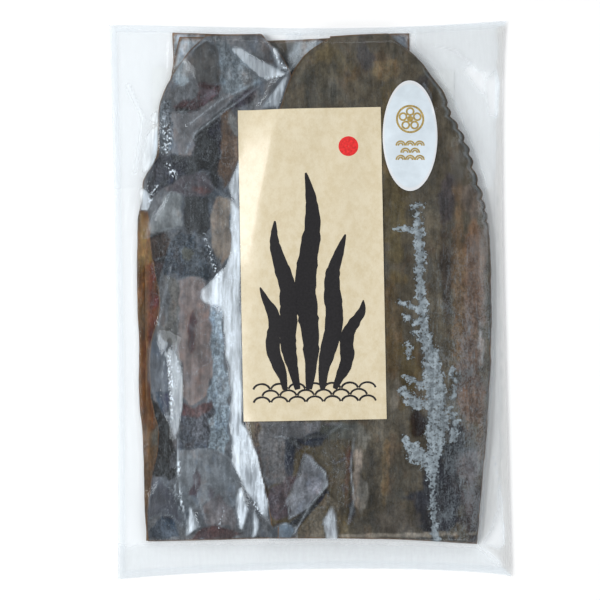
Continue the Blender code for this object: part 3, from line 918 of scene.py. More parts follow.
# The plan of each sheet in millimetres: its side edges from head to foot, its cut ends
# from left to right, and the share of the pile's height that its top lies at.
SHEETS = {
    "kelp_left_back": {
        "left": ((-75.5, 147), (-76, 124), (-82, 104), (-83, 92), (-84, 80), (-88, 70), (-91, 60), (-94, 48), (-95, 30),
                 (-95, 0), (-94, -28),
                 (-94, -55), (-92, -77), (-91, -105), (-90, -133)),
        "right": ((-27, 147), (-25, 0), (-22, -132)),
        "head": ((-76, 147), (-50, 146.2), (-20, 146)), "foot": ((-92, -132.4), (-20, -131)),
        "share": 0.24, "ragged": 0.5,
    },
    "kelp_left_inner": {
        "left": ((-72, 145), (-79, 104), (-81, 84), (-86, 64), (-90, 30), (-90, -30), (-89, -90), (-87, -132)),
        "right": ((-30, 145), (-28, 0), (-25, -132)),
        "head": ((-74, 144.5), (-25, 144.5)), "foot": ((-88, -131), (-25, -130)),
        "share": 0.62, "ragged": 0.6,
    },
    "kelp_left_front": {
        "left": ((-57, 146), (-67, 136), (-76, 123), (-82, 110), (-83, 103), (-83, 90), (-84, 79), (-87, 73), (-91, 67), (-91, 55),
                 (-88, 45), (-88, 33), (-86, 21), (-83, 5), (-83, -7), (-87, -22), (-88, -34), (-87, -55), (-84, -69),
                 (-84, -85), (-87, -99), (-89, -113), (-89, -132)),
        "right": ((-27, 146), (-22, 140), (-16, 134), (-11, 124), (-12, 105), (-14, 60), (-18, 0), (-20, -60), (-17, -132)),
        "head": ((-60, 145.2), (-40, 145.8), (-25, 145.8)), "foot": ((-90, -132.6), (-15, -130.4)),
        "share": 1.0, "ragged": 0.9,
    },
    "kelp_right_back": {
        "left": ((-26, 143), (-24, 60), (-26, -40), (-22, -132)),
        "right": ((54.5, 147), (55.5, 120), (70, 80), (80, 40), (86, 0), (88, -60), (84, -133)),
        "head": ((-26, 142.5), (-8, 143), (8, 143.8), (30, 145.4), (47, 146.5), (55, 146.6)),
        "foot": ((-24, -130.5), (40, -130.5), (86, -132)),
        "share": 0.2, "ragged": 0.25,
    },
    "kelp_right_inner_low": {
        "left": ((-1, 131), (-8, 118), (-20, 60), (-24, -40), (-18, -132)),
        "right": ((36, 140), (60, 112), (80, 70), (92, 30), (94, -30), (91, -90), (87, -132)),
        "head": ((0, 131), (16, 138), (40, 140)), "foot": ((-20, -130), (88, -131)),
        "share": 0.46, "ragged": 0.5,
    },
    "kelp_right_inner_high": {
        "left": ((2, 132), (-6, 118), (-14, 100), (-22, 0), (-24, -60), (-18, -132)),
        "right": ((40, 142), (62, 120), (80, 86), (92, 50), (96, 10), (96, -40), (93, -90), (89, -132)),
        "head": ((2, 132), (16, 139), (42, 142)), "foot": ((-20, -130), (90, -132)),
        "share": 0.72, "ragged": 0.6,
    },
    "kelp_right_front": {
        "left": ((11, 145), (0, 138), (-7, 130), (-10, 124), (-15, 110), (-17, 103), (-22, 70), (-26, 20), (-30, -20),
                 (-34, -55), (-35, -67), (-29, -90), (-23, -113), (-21, -131)),
        "right": ((42, 147), (48, 141), (55, 136), (62, 129), (67, 122), (73, 114), (77, 101), (81, 95), (86, 84), (90, 70),
                  (95, 53), (98, 36), (98.5, 30), (99.5, 5), (99.5, -17), (98.5, -45), (97, -70), (95, -94), (91.5, -134)),
        "head": ((11, 144.4), (26, 145.4), (42, 146.2)), "foot": ((-22, -130.6), (11, -130.4), (50, -131.2), (91, -134)),
        "share": 1.0, "ragged": 0.6,
    },
}
SHEET_THICK = 1.1 * MM
SHEET_RIM = 0.35
BASE_CLING = 0.2
RIM_COLOUR = (102, 76, 50)
BED_GAP = 0.12 * MM
FRONT_PITCH = 0.95 * MM
INNER_PITCH = 3.0 * MM
BACK_PITCH = 2.0 * MM
LEFT_SHEETS = ("kelp_left_back", "kelp_left_inner", "kelp_left_front")
LOBE_PITCH = 7.1 * MM
LOBE_DEPTH = 1.9 * MM
LOBE_SPAN = (34 * MM, 112 * MM)

# Patches of the front sheet on the left as they show under the film: outline, display
# colour, and how closely the film clings, which leaves the kelp dark, wet and speckled.
LEFT_PATCHES = {
    "pane at the top": (((-68, 131), (-63, 138), (-57, 143), (-52, 140), (-49, 132), (-48, 118), (-62, 118), (-64, 125)),
                        (90, 90, 90), 0.05),
    "frost at the top": (((-53, 146), (-42, 137), (-35, 129), (-27, 122), (-26, 118), (-42, 112), (-48, 115), (-49, 132)),
                         (110, 118, 124), 0.55),
    "pale patch": (((-74, 131), (-69, 134), (-66, 128), (-66, 120), (-70, 117), (-75, 121)), (146, 158, 166), 0.2),
    "crystals at the edge": (((-83, 109), (-76, 109), (-75, 103), (-75, 84), (-79, 79), (-84, 81)), (104, 111, 118), 1.0),
    "dark under the crystals": (((-84, 82), (-77, 80), (-64, 81), (-56, 72), (-62, 70), (-73, 65), (-80, 60), (-87, 56),
                                 (-92, 66)), (64, 66, 73), 0.95),
    "dark beside the label": (((-64, 90), (-61, 94), (-49, 103), (-49, 63), (-52, 60), (-57, 71), (-62, 71), (-73, 67),
                               (-76, 80), (-64, 80)), (58, 58, 65), 0.9),
    "wedge to the pinch": (((-27, 118), (-35, 115), (-42, 109), (-49, 103), (-48, 100), (-38, 105), (-29, 112)),
                           (74, 72, 78), 0.8),
    "dark curl": (((-61, 118), (-57, 119), (-49, 117), (-48, 114), (-52, 108), (-57, 105), (-62, 103), (-72, 102),
                   (-75, 107), (-67, 109), (-62, 112)), (80, 68, 70), 0.6),
    "pink glow in the curl": (((-60, 115), (-54, 115), (-51, 112), (-55, 108), (-59, 108)), (104, 96, 102), 0.2),
    "diagonal pane": (((-75, 103), (-62, 103), (-49, 112), (-42, 112), (-37, 116), (-50, 103), (-61, 94), (-64, 90),
                       (-64, 80), (-75, 80)), (121, 121, 123), 0.1),
    "brown beside the label": (((-49, 102), (-43, 104), (-39, 100), (-38, 78), (-43, 66), (-48, 60), (-49, 75)),
                               (96, 84, 76), 0.25),
    "grey at the label's corner": (((-44, 103), (-39, 100), (-38, 90), (-42, 92), (-45, 96)), (112, 114, 114), 0.2),
    "pane under the dark": (((-80, 60), (-73, 66), (-62, 70), (-57, 70), (-52, 61), (-57, 56), (-68, 56), (-78, 59)),
                            (98, 95, 98), 0.2),
    "ruddy fleck": (((-63, 62), (-57, 62), (-54, 59), (-58, 58), (-63, 60)), (108, 94, 94), 0.3),
    "dark oval": (((-68, 55), (-62, 57), (-56, 56), (-54, 46), (-56, 37), (-59, 34), (-63, 38), (-67, 34), (-69, 45)),
                  (62, 64, 70), 0.7),
    "pale pane": (((-88, 42), (-80, 52), (-78, 59), (-70, 59), (-69, 45), (-71, 41), (-78, 39), (-86, 36), (-90, 34)),
                  (126, 130, 132), 0.05),
    "tan pane": (((-51, 56), (-44, 55), (-43, 34), (-43, 26), (-49, 18), (-54, 29), (-54, 37), (-53, 46)),
                 (134, 127, 120), 0.1),
    "dark band": (((-76, 34), (-71, 38), (-60, 31), (-53, 27), (-49, 21), (-53, 15), (-58, 10), (-64, 13), (-70, 13),
                   (-80, 14), (-83, 23), (-78, 29)), (72, 78, 85), 0.8),
    "ring in the dark band": (((-71, 26), (-68, 29), (-64, 28), (-62, 24), (-65, 21), (-70, 22)), (88, 90, 86), 0.3),
    "brown at the left": (((-90, 36), (-80, 38), (-76, 34), (-80, 24), (-84, 6), (-89, 6), (-90, 24)), (66, 60, 58), 0.5),
    "long mauve pane": (((-72, 11), (-66, 13), (-58, 11), (-56, 4), (-54, -3), (-53, -20), (-54, -45), (-58, -54),
                         (-66, -57), (-70, -52), (-70, -38), (-72, -26), (-72, -8)), (134, 126, 124), 0.0),
    "streak in the mauve": (((-65, -6), (-62, -12), (-63, -26), (-65, -28), (-66, -18)), (104, 82, 78), 0.1),
    "frost beside the mauve": (((-54, -3), (-49, -8), (-47, -28), (-44, -50), (-45, -70), (-50, -66), (-57, -56),
                                (-54, -45), (-53, -20)), (134, 147, 157), 0.55),
    "frost by the step": (((-56, 2), (-50, -2), (-48, -8), (-48, -22), (-52, -20), (-54, -6)), (158, 172, 183), 0.5),
    "grey blue strip": (((-79, 14), (-72, 11), (-72, -26), (-76, -24), (-80, -20), (-77, 0)), (99, 99, 98), 0.3),
    "grey mauve pane": (((-84, 8), (-79, 14), (-78, 0), (-81, -16), (-88, -20), (-86, -4)), (99, 100, 102), 0.1),
    "pane by the long glare": (((-88, -22), (-80, -22), (-78, -34), (-78, -50), (-84, -54), (-88, -44)),
                               (108, 112, 118), 0.05),
    "dark three corners": (((-86, -50), (-77, -51), (-77, -66), (-81, -62)), (78, 87, 98), 0.1),
    "dark folds": (((-88, -50), (-83, -58), (-76, -68), (-74, -80), (-72, -90), (-76, -98), (-82, -97), (-88, -104),
                    (-89, -80)), (34, 31, 33), 0.75),
    "grey in the folds": (((-76, -84), (-72, -82), (-71, -90), (-77, -93)), (78, 80, 84), 0.5),
    "grey at the edge": (((-89, -96), (-82, -97), (-80, -104), (-84, -112), (-88, -112)), (92, 95, 101), 0.3),
    "ruddy rim": (((-70, -57), (-62, -59), (-55, -54), (-52, -60), (-60, -72), (-69, -72)), (90, 76, 77), 0.4),
    "speckled dark": (((-70, -62), (-60, -64), (-52, -58), (-50, -68), (-54, -80), (-62, -84), (-72, -82)),
                      (84, 88, 95), 0.8),
    "frost over the foot": (((-56, -64), (-46, -60), (-44, -76), (-46, -86), (-54, -80)), (130, 143, 152), 0.7),
    "wide grey pane": (((-72, -82), (-58, -80), (-47, -84), (-43, -88), (-38, -98), (-41, -112), (-50, -118),
                        (-56, -110), (-68, -116), (-74, -104)), (120, 124, 128), 0.15),
    "dark lens": (((-62, -92), (-59, -97), (-62, -108), (-66, -106), (-64, -98)), (98, 92, 96), 0.3),
    "small lens": (((-55, -100), (-52, -104), (-54, -110), (-56, -106)), (100, 98, 102), 0.2),
    "blue lens": (((-79, -102), (-76, -104), (-76, -110), (-80, -108)), (50, 56, 66), 0.3),
    "corner pane": (((-89, -120), (-88, -108), (-82, -98), (-74, -106), (-70, -124), (-76, -118), (-84, -118)),
                    (98, 99, 104), 0.1),
    "blue corner": (((-90, -131), (-88, -124), (-80, -118), (-74, -119), (-71, -131)), (68, 76, 86), 0.5),
    "ruddy foot": (((-67, -131), (-60, -124), (-54, -122), (-44, -125), (-38, -130)), (76, 62, 63), 0.4),
    "mauve foot": (((-58, -112), (-50, -106), (-42, -114), (-40, -124), (-48, -124), (-58, -122)), (112, 110, 113), 0.1),
}

# Blots of other tints: centre x and y, half width, half height, lean in degrees, display colour and share.
RIGHT_FRONT_BLOTS = (
    (60, -104, 40, 34, 0, (66, 63, 58), 0.45),
    (30, 134, 5, 9, -15, (62, 62, 66), 0.55), (43, 126, 10, 6, -25, (106, 95, 76), 0.6), (12, 130, 10, 10, 0, (96, 87, 68), 0.6),
    (5, 118, 10, 12, 30, (74, 72, 66), 0.6), (60, 118, 7, 4, -40, (66, 64, 64), 0.7), (46, 112, 7, 9, 0, (92, 85, 70), 0.6),
    (45, 60, 8, 50, 0, (90, 82, 64), 0.7), (44, -14, 6, 26, 0, (84, 73, 56), 0.75), (46, -8, 3, 14, 0, (102, 92, 78), 0.5),
    (75, 56, 5, 16, 0, (72, 68, 70), 0.7), (94, -76, 3, 16, 0, (90, 80, 72), 0.7), (75, 16, 4, 18, 0, (75, 70, 66), 0.7), (88, 55, 6, 8, -20, (106, 97, 90), 0.7),
    # The pale strips at x 94 and 95 stand in for a highlight along the ridge near the right edge: painted highlight.
    (88, 26, 7, 14, 0, (108, 86, 70), 0.8), (95, 24, 2.4, 20, 4, (108, 98, 90), 0.8), (94, -4, 2.0, 12, 0, (126, 118, 112), 0.7),
    (88, -3, 7, 28, 0, (108, 92, 82), 0.8), (81, 10, 4, 50, 0, (100, 84, 68), 0.7), (93, -26, 2.4, 14, 0, (132, 131, 130), 0.7), (88, -48, 7, 26, 0, (100, 86, 78), 0.75),
    # The pale short band at x 47, y -50 is a painted highlight on a ridge.
    (47, -50, 2.6, 8, 15, (118, 112, 102), 0.7), (44, -30, 3.5, 10, 0, (76, 66, 52), 0.6), (58, -66, 5, 8, 0, (48, 42, 34), 0.85), (54, -40, 5, 22, 0, (76, 68, 52), 0.7),
    # The pale strip at x 25.5, y -93 is a painted highlight along a ridge.
    (25.5, -93, 2.6, 15, 3, (134, 125, 117), 0.8), (20.5, -93, 1.4, 17, 3, (92, 78, 72), 0.5), (41, -93, 2.2, 18, 0, (102, 90, 72), 0.65),
    (32, -96, 3.4, 22, 0, (66, 64, 60), 0.7), (72, -106, 14, 24, 8, (50, 51, 56), 0.85), (80, -84, 8, 14, 0, (60, 62, 66), 0.8), (88, -114, 6, 18, 0, (66, 60, 62), 0.7), (74, 14, 2.5, 30, -3, (64, 58, 54), 0.6),
    (12, -72, 24, 4, 0, (88, 90, 87), 0.6), (28, -76, 7, 6, 0, (106, 105, 100), 0.6), (28, -105, 3, 10, 0, (118, 116, 111), 0.6), (48, -122, 10, 8, 0, (82, 78, 73), 0.6), (86, -90, 6, 8, 0, (106, 104, 107), 0.6),
    (16, -123, 6, 5, 0, (104, 95, 78), 0.6), (43, -128.6, 50, 1.2, -1, (128, 122, 112), 0.8),
)
# Patches under the film at the foot of the front sheet on the right.
RIGHT_PATCHES = {
    "dotted seam": (((-31, -66), (-28, -66), (-26, -96), (-22, -110), (-24, -112), (-29, -96)), (84, 76, 70), 0.9),
    "mauve folds": (((-28, -66), (6, -66), (4, -74), (-8, -78), (-12, -86), (-12, -96), (-22, -104), (-26, -92)),
                    (104, 104, 106), 0.4),
    "dark bracket": (((-14, -76), (4, -72), (10, -74), (6, -78), (-7, -80), (-9, -92), (-12, -98), (-14, -90)),
                     (62, 66, 74), 0.4),
    "mauve under the bracket": (((-22, -104), (-13, -97), (-7, -97), (-13, -108), (-11, -118), (-20, -122), (-24, -114)),
                                (86, 80, 84), 0.4),
    "kite": (((-3, -84), (8, -94), (9, -101), (0, -112), (-11, -119), (-13, -108), (-7, -97)), (126, 128, 133), 0.35),
    "shine in the kite": (((0, -96), (6, -99), (4, -105), (-3, -103)), (142, 144, 152), 0.4),
    "dark stroke": (((9, -102), (10, -106), (-2, -118), (-12, -128), (-14, -126), (0, -112)), (48, 56, 68), 0.3),
    "amber foot": (((8, -106), (16, -110), (17, -130), (-8, -130), (-2, -120)), (104, 98, 88), 0.4),
    "blue drop": (((-21, -124), (-14, -121), (-9, -125), (-9, -131), (-20, -131)), (118, 128, 138), 0.1),
}
BACK_BLOTS = (
    (-91, -30, 7, 78, 1, (100, 66, 6), 1.0), (-92, 30, 5, 14, 0, (118, 98, 68), 0.8), (-92, -10, 2.4, 12, 0, (86, 64, 36), 0.7),
    (-91, -100, 5, 30, 0, (108, 90, 74), 0.8),
    (-66, 137, 9, 12, -10, (156, 166, 174), 1.0), (-75.6, 126, 1.4, 22, 0, (100, 80, 62), 0.7),
    (-40, 143, 14, 4, 0, (112, 110, 106), 0.7), (3, 141, 3, 6, 0, (132, 140, 148), 0.8),
    (-3, 136, 8, 10, -20, (150, 156, 160), 0.8), (-14, 140, 5, 4, 0, (92, 86, 78), 0.6), (54.6, 132, 1.4, 16, 0, (116, 88, 60), 0.9),
    (50, 138, 3, 9, 0, (108, 116, 126), 0.7),
)

# The crust of bloom: runs of points with a half width, in millimetres.
BLOOM_RUNS = (
    ((58, 51, 0.9), (59, 42, 2.0), (59, 36, 2.8), (60, 21, 2.4), (60, 5, 2.2), (62, -12, 2.8), (64, -22, 2.6), (66, -33, 4.6),
     (68, -48, 5.6), (68, -60, 5.4), (70, -68, 5.6), (69, -78, 3.6), (66, -88, 4.2), (67, -96, 2.6), (67, -104, 0.6),
     (67, -110, 1.6), (68, -121, 1.8), (69, -131, 2.6)),
    ((54.5, 49, 0.8), (60, 52, 1.2)), ((48, 39, 0.9), (57, 38, 1.8)), ((49, -1, 0.9), (60, -5, 1.8)),
    ((52, -9, 0.9), (60, -13, 1.6)), ((57, -18, 1.1), (64, -23, 1.8)), ((53, -25, 1.7), (54, -30, 1.7)),
    ((53, -42, 1.4), (65, -48, 2.2)), ((51, -49, 2.2), (57, -56, 3.4), (64, -57, 2.4)),
    ((52, -76, 1.6), (57, -83, 4.6), (64, -89, 3.6)), ((77, -38, 1.0), (80, -46, 1.2), (78, -53, 1.4)),
    ((76, -60, 1.6), (80, -68, 1.8), (77, -76, 1.2)), ((64, -70, 2.0), (66, -76, 2.4)),
)


def swath(runs, x, y):
    """How far each point is inside the widest of runs given by (x, y, half width) points."""
    deepest = np.full(x.shape, -np.inf)
    for run in runs:
        for (ax, ay, aw), (bx, by, bw) in zip(run, run[1:]):
            across, along = (bx - ax) * MM, (by - ay) * MM
            t = ((x - ax * MM) * across + (y - ay * MM) * along) / (across**2 + along**2)
            t = np.clip(t, 0, 1)
            away = np.hypot(x - ax * MM - t * across, y - ay * MM - t * along)
            deepest = np.maximum(deepest, (aw + (bw - aw) * t) * MM - away)
    return deepest


def tinted(base, blots, patches, x, y):
    """The look and the film's cling at each point: a base tone with blots and patches of other tones over it."""
    tint = np.ones(x.shape)[..., None] * rgb(*base)
    cling = np.full(x.shape, BASE_CLING)
    drift = lumps(x, y, 6 * MM, 71) + 0.6 * lumps(x, y, 2.5 * MM, 72)
    for middle_x, middle_y, half_x, half_y, lean, colour, share in blots:
        run, rise = x - middle_x * MM, y - middle_y * MM
        turn = radians(lean)
        across = (run * cos(turn) - rise * sin(turn)) / (half_x * MM)
        along = (run * sin(turn) + rise * cos(turn)) / (half_y * MM)
        cover = min(1.3 * share, 1.0) * (1 - eased((np.hypot(across, along) + 0.38 * drift - 0.75) / 0.5))
        tint = tint + cover[..., None] * (np.array(rgb(*colour)) - tint)
    for i, (outline, colour, share) in enumerate(patches.values()):
        cover = stamp(outline, x, y, 0.6, 1.5, 80 + i)
        tint = tint + 0.95 * cover[..., None] * (np.array(rgb(*colour)) - tint)
        cling = cling + cover * (share - cling)
    drift = 0.13 * lumps(x, y, 16 * MM, 73, 1.4) + 0.09 * lumps(x, y, 7 * MM, 74, 1.4)
    return tint * (1 + drift)[..., None], cling


def sheet_plan(plan, pitch, lobed):
    """Grid points over a sheet's plan, and each point's distance inside the sheet's rim."""
    head, foot = plan["head"], plan["foot"]
    high = max(y for _, y in head) * MM
    low = min(y for _, y in foot) * MM
    rows = int((high - low) / pitch)
    t = np.linspace(0, 1, rows)
    y = low + t * (high - low)
    ragged = plan["ragged"] * MM
    seed = len(head) + int(100 * plan["share"])
    sides = []
    for name, turn in (("left", 1), ("right", -1)):
        side = side_line(plan[name], y)
        side = side + ragged * (lumps(side, y, 9 * MM, seed + turn) + 0.5 * lumps(side, y, 3.3 * MM, seed + 3 + turn)) * 0.6
        sides.append(side)
    if lobed:
        lobes = np.abs(np.sin(pi * y / LOBE_PITCH + 0.8 * lumps(0 * y, y, 19 * MM, 8))) - 0.45
        span_in = eased((y - LOBE_SPAN[0]) / (8 * MM)) * eased((LOBE_SPAN[1] - y) / (8 * MM))
        sides[1] = sides[1] + LOBE_DEPTH * lobes * span_in
    columns = int((sides[1] - sides[0]).max() / pitch)
    s = np.linspace(0, 1, columns)
    x = sides[0][:, None] + s * (sides[1] - sides[0])[:, None]
    top = station_line(head, x)
    bottom = station_line(foot, x)
    y = bottom + t[:, None] * (top - bottom)
    across = np.minimum(s, 1 - s) * (sides[1] - sides[0])[:, None]
    along = np.minimum(t, 1 - t)[:, None] * (top - bottom)
    return x, y, np.minimum(across, along)


def lowest_film(x, y):
    """The film's lowest height near each point, so that a sheet under it clears its folds."""
    shape = drape()
    steps = (-FILM_PITCH, 0, FILM_PITCH)
    near = [shape.grid.sample(shape.film, x + across, y + along) for across in steps for along in steps]
    return np.minimum.reduce(near)


def sheet_top(name, x, y, rim):
    """The height of a sheet's upper face: pressed under the film, or at its share of the pile."""
    shape = drape()
    plan = SHEETS[name]
    film = lowest_film(x, y) - FILM_LIFT
    under = shape.grid.sample(shape.under, x, y)
    pile = shape.grid.sample(shape.pile, x, y)
    if name in LEFT_SHEETS:
        pile = np.minimum(pile, LEFT_TOP)
    seed = int(100 * plan["share"]) + len(plan["left"])
    ridge = 0.30 * lumps(x, y, 9 * MM, seed, 4.0) + 0.22 * lumps(x, y, 4.5 * MM, seed + 1, 2.0) + 0.1 * lumps(x, y, 2.4 * MM, seed + 2)
    curl = 0.5 * (1 - eased(rim / (4 * MM)))
    if plan["share"] == 1.0:
        return np.minimum(pile - (0.3 - ridge - 0.5 * curl) * MM, film)
    return under + plan["share"] * (np.minimum(pile, film) - under) + ridge * MM


def build_kelp(settings):
    left = kelp_material("Kelp on the left", settings.bloom_colour, 0.4, 1.8 * MM)
    right = kelp_material("Kelp on the right", settings.bloom_colour, 0.32, 1.4 * MM)
    inner = kelp_material("Kelp inside the pile", settings.bloom_colour, 0.35, 0.8 * MM)
    materials = {"kelp_left_front": left, "kelp_right_front": right, "kelp_left_back": left, "kelp_right_back": right}
    bases = {"kelp_left_front": (98, 101, 105), "kelp_right_front": (84, 79, 70), "kelp_right_back": (98, 99, 98)}
    patches = {"kelp_left_front": LEFT_PATCHES, "kelp_right_front": RIGHT_PATCHES}
    for name, plan in SHEETS.items():
        is_front = plan["share"] == 1.0
        pitch = FRONT_PITCH if is_front else BACK_PITCH if name in materials else INNER_PITCH
        x, y, rim = sheet_plan(plan, pitch, name == "kelp_right_front")
        top = sheet_top(name, x, y, rim)
        thick = SHEET_THICK * (SHEET_RIM + (1 - SHEET_RIM) * eased(rim / (3 * MM)))
        bed = drape().grid.sample(drape().under, x, y) + BED_GAP
        top = np.maximum(top, bed + 0.1 * MM)
        under = np.maximum(top - thick, bed)
        blots = RIGHT_FRONT_BLOTS if name == "kelp_right_front" else () if is_front else BACK_BLOTS
        tint, cling = tinted(bases.get(name, (84, 82, 76)), blots, patches.get(name, {}), x, y)
        tint = under_film(tint, drape().grid.sample(drape().haze, x, y))
        tint = tint * (1 - 0.45 * (1 - eased(rim / (1.4 * MM))))[..., None]
        tint = tint + (1 - eased(rim / (0.8 * MM)))[..., None] * (np.array(rgb(*RIM_COLOUR)) - tint)
        bloom = np.full(x.shape, -0.6)
        dust = 0.03 + 0.08 * cling
        if name == "kelp_right_front":
            dusty = eased((x - 56 * MM) / (26 * MM)) * eased((60 * MM - y) / (80 * MM))
            cling = np.where(y < -64 * MM, cling, 0.12) + 0.22 * dusty
            bloom = np.clip(0.55 + swath(BLOOM_RUNS, x, y) / (6 * MM), -0.6, 1.0)
            dust = 0.05 + 0.28 * dusty
            # A pale lip just inside the scalloped right edge stands in for the highlight on its curled rim: painted
            # highlight.
            lip_highlight = np.exp(-((rim - 2.2 * MM) / (0.8 * MM)) ** 2) * eased((y - 30 * MM) / (8 * MM))
            lip_highlight = lip_highlight * eased((x - 60 * MM) / (6 * MM))
            tint = tint + (0.4 * lip_highlight)[..., None] * (np.array(settings.bloom_colour) - tint)
        values = {"tint": tint, "bloom": bloom, "dust": dust, "cling": cling}
        finish_piece(slab_piece(name, x, y, top, under, values), materials.get(name, inner))


# ---------------------------------------------------------------------------
# Labels and their print

LABEL_CENTRE = (1.1, 19.4)
LABEL_SIZE = (78.0, 170.0)
LABEL_TURN = radians(1.1)
STICKER_CENTRE = (54.5, 89.6)
STICKER_SIZE = (29.9, 60.4)
BACK_CENTRE = (-4.3, 75.0)
BACK_SIZE = (165.6, 104.0)
BACK_TURN = radians(-0.76)
LABEL_LIFT = 0.12 * MM
LABEL_THICK = 0.09 * MM
INK_LIFT = 0.03 * MM


def on_label(across, along, centre=LABEL_CENTRE, turn=LABEL_TURN):
    """x and y, in metres, of a point given in millimetres from a label's centre."""
    x = centre[0] + across * cos(turn) - along * sin(turn)
    y = centre[1] + across * sin(turn) + along * cos(turn)
    return x * MM, y * MM


def label_outline(margin):
    """The tall label's corners in millimetres, grown by a margin."""
    half_x, half_y = LABEL_SIZE[0] / 2 + margin, LABEL_SIZE[1] / 2 + margin
    corners = ((-half_x, -half_y), (half_x, -half_y), (half_x, half_y), (-half_x, half_y))
    return tuple((x / MM, y / MM) for x, y in (on_label(*corner) for corner in corners))


def over_film(x, y, lift):
    shape = drape()
    return shape.grid.sample(shape.film, x, y) + lift


def label_height(x, y):
    """The tall label's upper face: the film's height under it, raised by the label's lift and thickness."""
    return over_film(x, y, LABEL_LIFT + LABEL_THICK)


def stroke(points, widths, rows=None):
    """A brush stroke on the label: a grid of points along a rounded run, with a half width at each."""
    run = np.array(points, float)
    rows = rows or 6 * len(run)
    at = np.linspace(0, len(run) - 1, rows)
    i = np.clip(at.astype(int), 0, len(run) - 2)
    t = (at - i)[:, None]
    before, after = run[np.maximum(i - 1, 0)], run[np.minimum(i + 2, len(run) - 1)]
    start, end = run[i], run[i + 1]
    slope_a, slope_b = (end - before) / 2, (after - start) / 2
    middle = start + slope_a * t + (3 * (end - start) - 2 * slope_a - slope_b) * t**2
    middle = middle + (slope_a + slope_b - 2 * (end - start)) * t**3
    width = np.interp(at, np.arange(len(run)), widths)
    ahead = np.gradient(middle, axis=0)
    ahead /= np.hypot(*ahead.T)[:, None]
    side = np.stack((-ahead[:, 1], ahead[:, 0]), axis=1)
    wobble = 1 + 0.10 * lumps(middle[:, 0], middle[:, 1], 2.3, 31)
    across = np.linspace(-1, 1, 7)
    return middle[:, None, :] + across[None, :, None] * side[:, None, :] * (width * wobble)[:, None, None]


def print_piece(name, strokes, material, height, centre, turn):
    """All strokes of one ink as one thin piece that follows the label."""
    corners, faces = [], []
    for i, grid in enumerate(strokes):
        x, y = on_label(grid[..., 0], grid[..., 1], centre, turn)
        z = height(x, y) + INK_LIFT + i * 0.0008 * MM
        faces += grid_faces(*x.shape, start=len(corners), turned=True)
        corners += points_of(x, y, z)
    piece = mesh_piece(name, corners, faces)
    finish_piece(piece, material)
    return piece


def ring(centre, radius, width, rows=40, squash=1.0):
    """A closed round stroke."""
    turn = np.linspace(0, 2 * pi, rows)[:, None]
    across = np.linspace(-1, 1, 5)[None, :]
    reach = radius + width * across
    x = centre[0] + reach * np.cos(turn)
    y = centre[1] + squash * reach * np.sin(turn)
    return np.stack((x, y), axis=2)[:, ::-1]


def disc(centre, radius, squash=1.0):
    turn = np.linspace(0, 2 * pi, 33)[:, None]
    reach = radius * np.linspace(0.02, 1, 5)[None, :]
    x = centre[0] + reach * np.cos(turn)
    y = centre[1] + squash * reach * np.sin(turn)
    return np.stack((x, y), axis=2)[:, ::-1]


def blade(foot, height, lean, width, phase):
    """A wavy blade of kelp drawn with a loaded brush, from its foot up to its tip."""
    t = np.linspace(0, 1, 9)
    x = foot[0] + lean * t + 2.6 * np.sin(2 * pi * (1.6 * t + phase)) * (0.4 + 0.6 * t)
    y = foot[1] + height * t
    widths = width * np.array((0.28, 0.62, 0.9, 1.0, 1.0, 0.94, 0.8, 0.55, 0.08))
    return stroke(np.stack((x, y), axis=1), widths, 60)


# Kelp blades painted on the tall label: foot, height, lean, half width and wave.
BLADES = (
    ((-3, -68), 118, 2, 5.6, 0.0), ((-10, -68), 92, -9, 4.8, 0.35), ((5, -68), 84, 11, 4.8, 0.6),
    ((-17, -68), 56, -9, 3.8, 0.15), ((12, -68), 48, 14, 3.8, 0.8),
)


def tall_label_prints():
    """The label's black drawing: blades of kelp over waves."""
    black = [blade(*values) for values in BLADES]
    for row in range(3):
        for k in range(-3, 4):
            middle = (k * 9.6 + (row % 2) * 4.8, -75.5 + row * 3.6)
            if abs(middle[0]) < 31:
                arc = [(middle[0] + 4.6 * cos(turn), middle[1] + 3.6 * sin(turn)) for turn in np.linspace(0.2, pi - 0.2, 7)]
                black.append(stroke(arc, np.full(7, 0.55), 20))
    return black


def build_labels(settings):
    shape = drape()
    u, v = np.meshgrid(np.linspace(-0.5, 0.5, 66), np.linspace(-0.5, 0.5, 142))
    x, y = on_label(u * LABEL_SIZE[0], v * LABEL_SIZE[1])
    top = label_height(x, y)
    paper = paper_material("Label paper", settings.label_tint, settings.label_shade, 0.75)
    finish_piece(slab_piece("tall_label", x, y, top, top - LABEL_THICK), paper, ("front_label",))
    turn, reach = np.meshgrid(np.linspace(0, 2 * pi, 97), np.linspace(0.0, 1, 26))
    reach = np.clip(reach, 0.004, 1)
    x = (STICKER_CENTRE[0] + STICKER_SIZE[0] / 2 * reach * np.cos(turn)) * MM
    y = (STICKER_CENTRE[1] + STICKER_SIZE[1] / 2 * reach * np.sin(turn)) * MM
    top = over_film(x, y, LABEL_LIFT + LABEL_THICK) - 0.04 * MM * (reach > 0.99)
    edge = eased((reach - 0.93) / 0.02)
    silver = sticker_material("Sticker", settings.sticker_tint)
    corners = points_of(x, y, top)
    piece = mesh_piece("oval_label", corners, grid_faces(*x.shape, turned=True), {"edge": edge.ravel()})
    finish_piece(piece, silver, ("oval_sticker",))
    u, v = np.meshgrid(np.linspace(-0.5, 0.5, 60), np.linspace(-0.5, 0.5, 40))
    x, y = on_label(u * BACK_SIZE[0], v * BACK_SIZE[1], BACK_CENTRE, BACK_TURN)
    under = shape.grid.sample(shape.under, x, y)
    low = np.maximum(np.minimum(under, FLANGE_HEIGHT) - 0.1 * MM - LABEL_THICK, 0)
    back = paper_material("Back label paper", settings.back_tint, settings.back_shade, 0.3)
    finish_piece(slab_piece("rear_label", x, y, low + LABEL_THICK, low), back, ("back_label",))


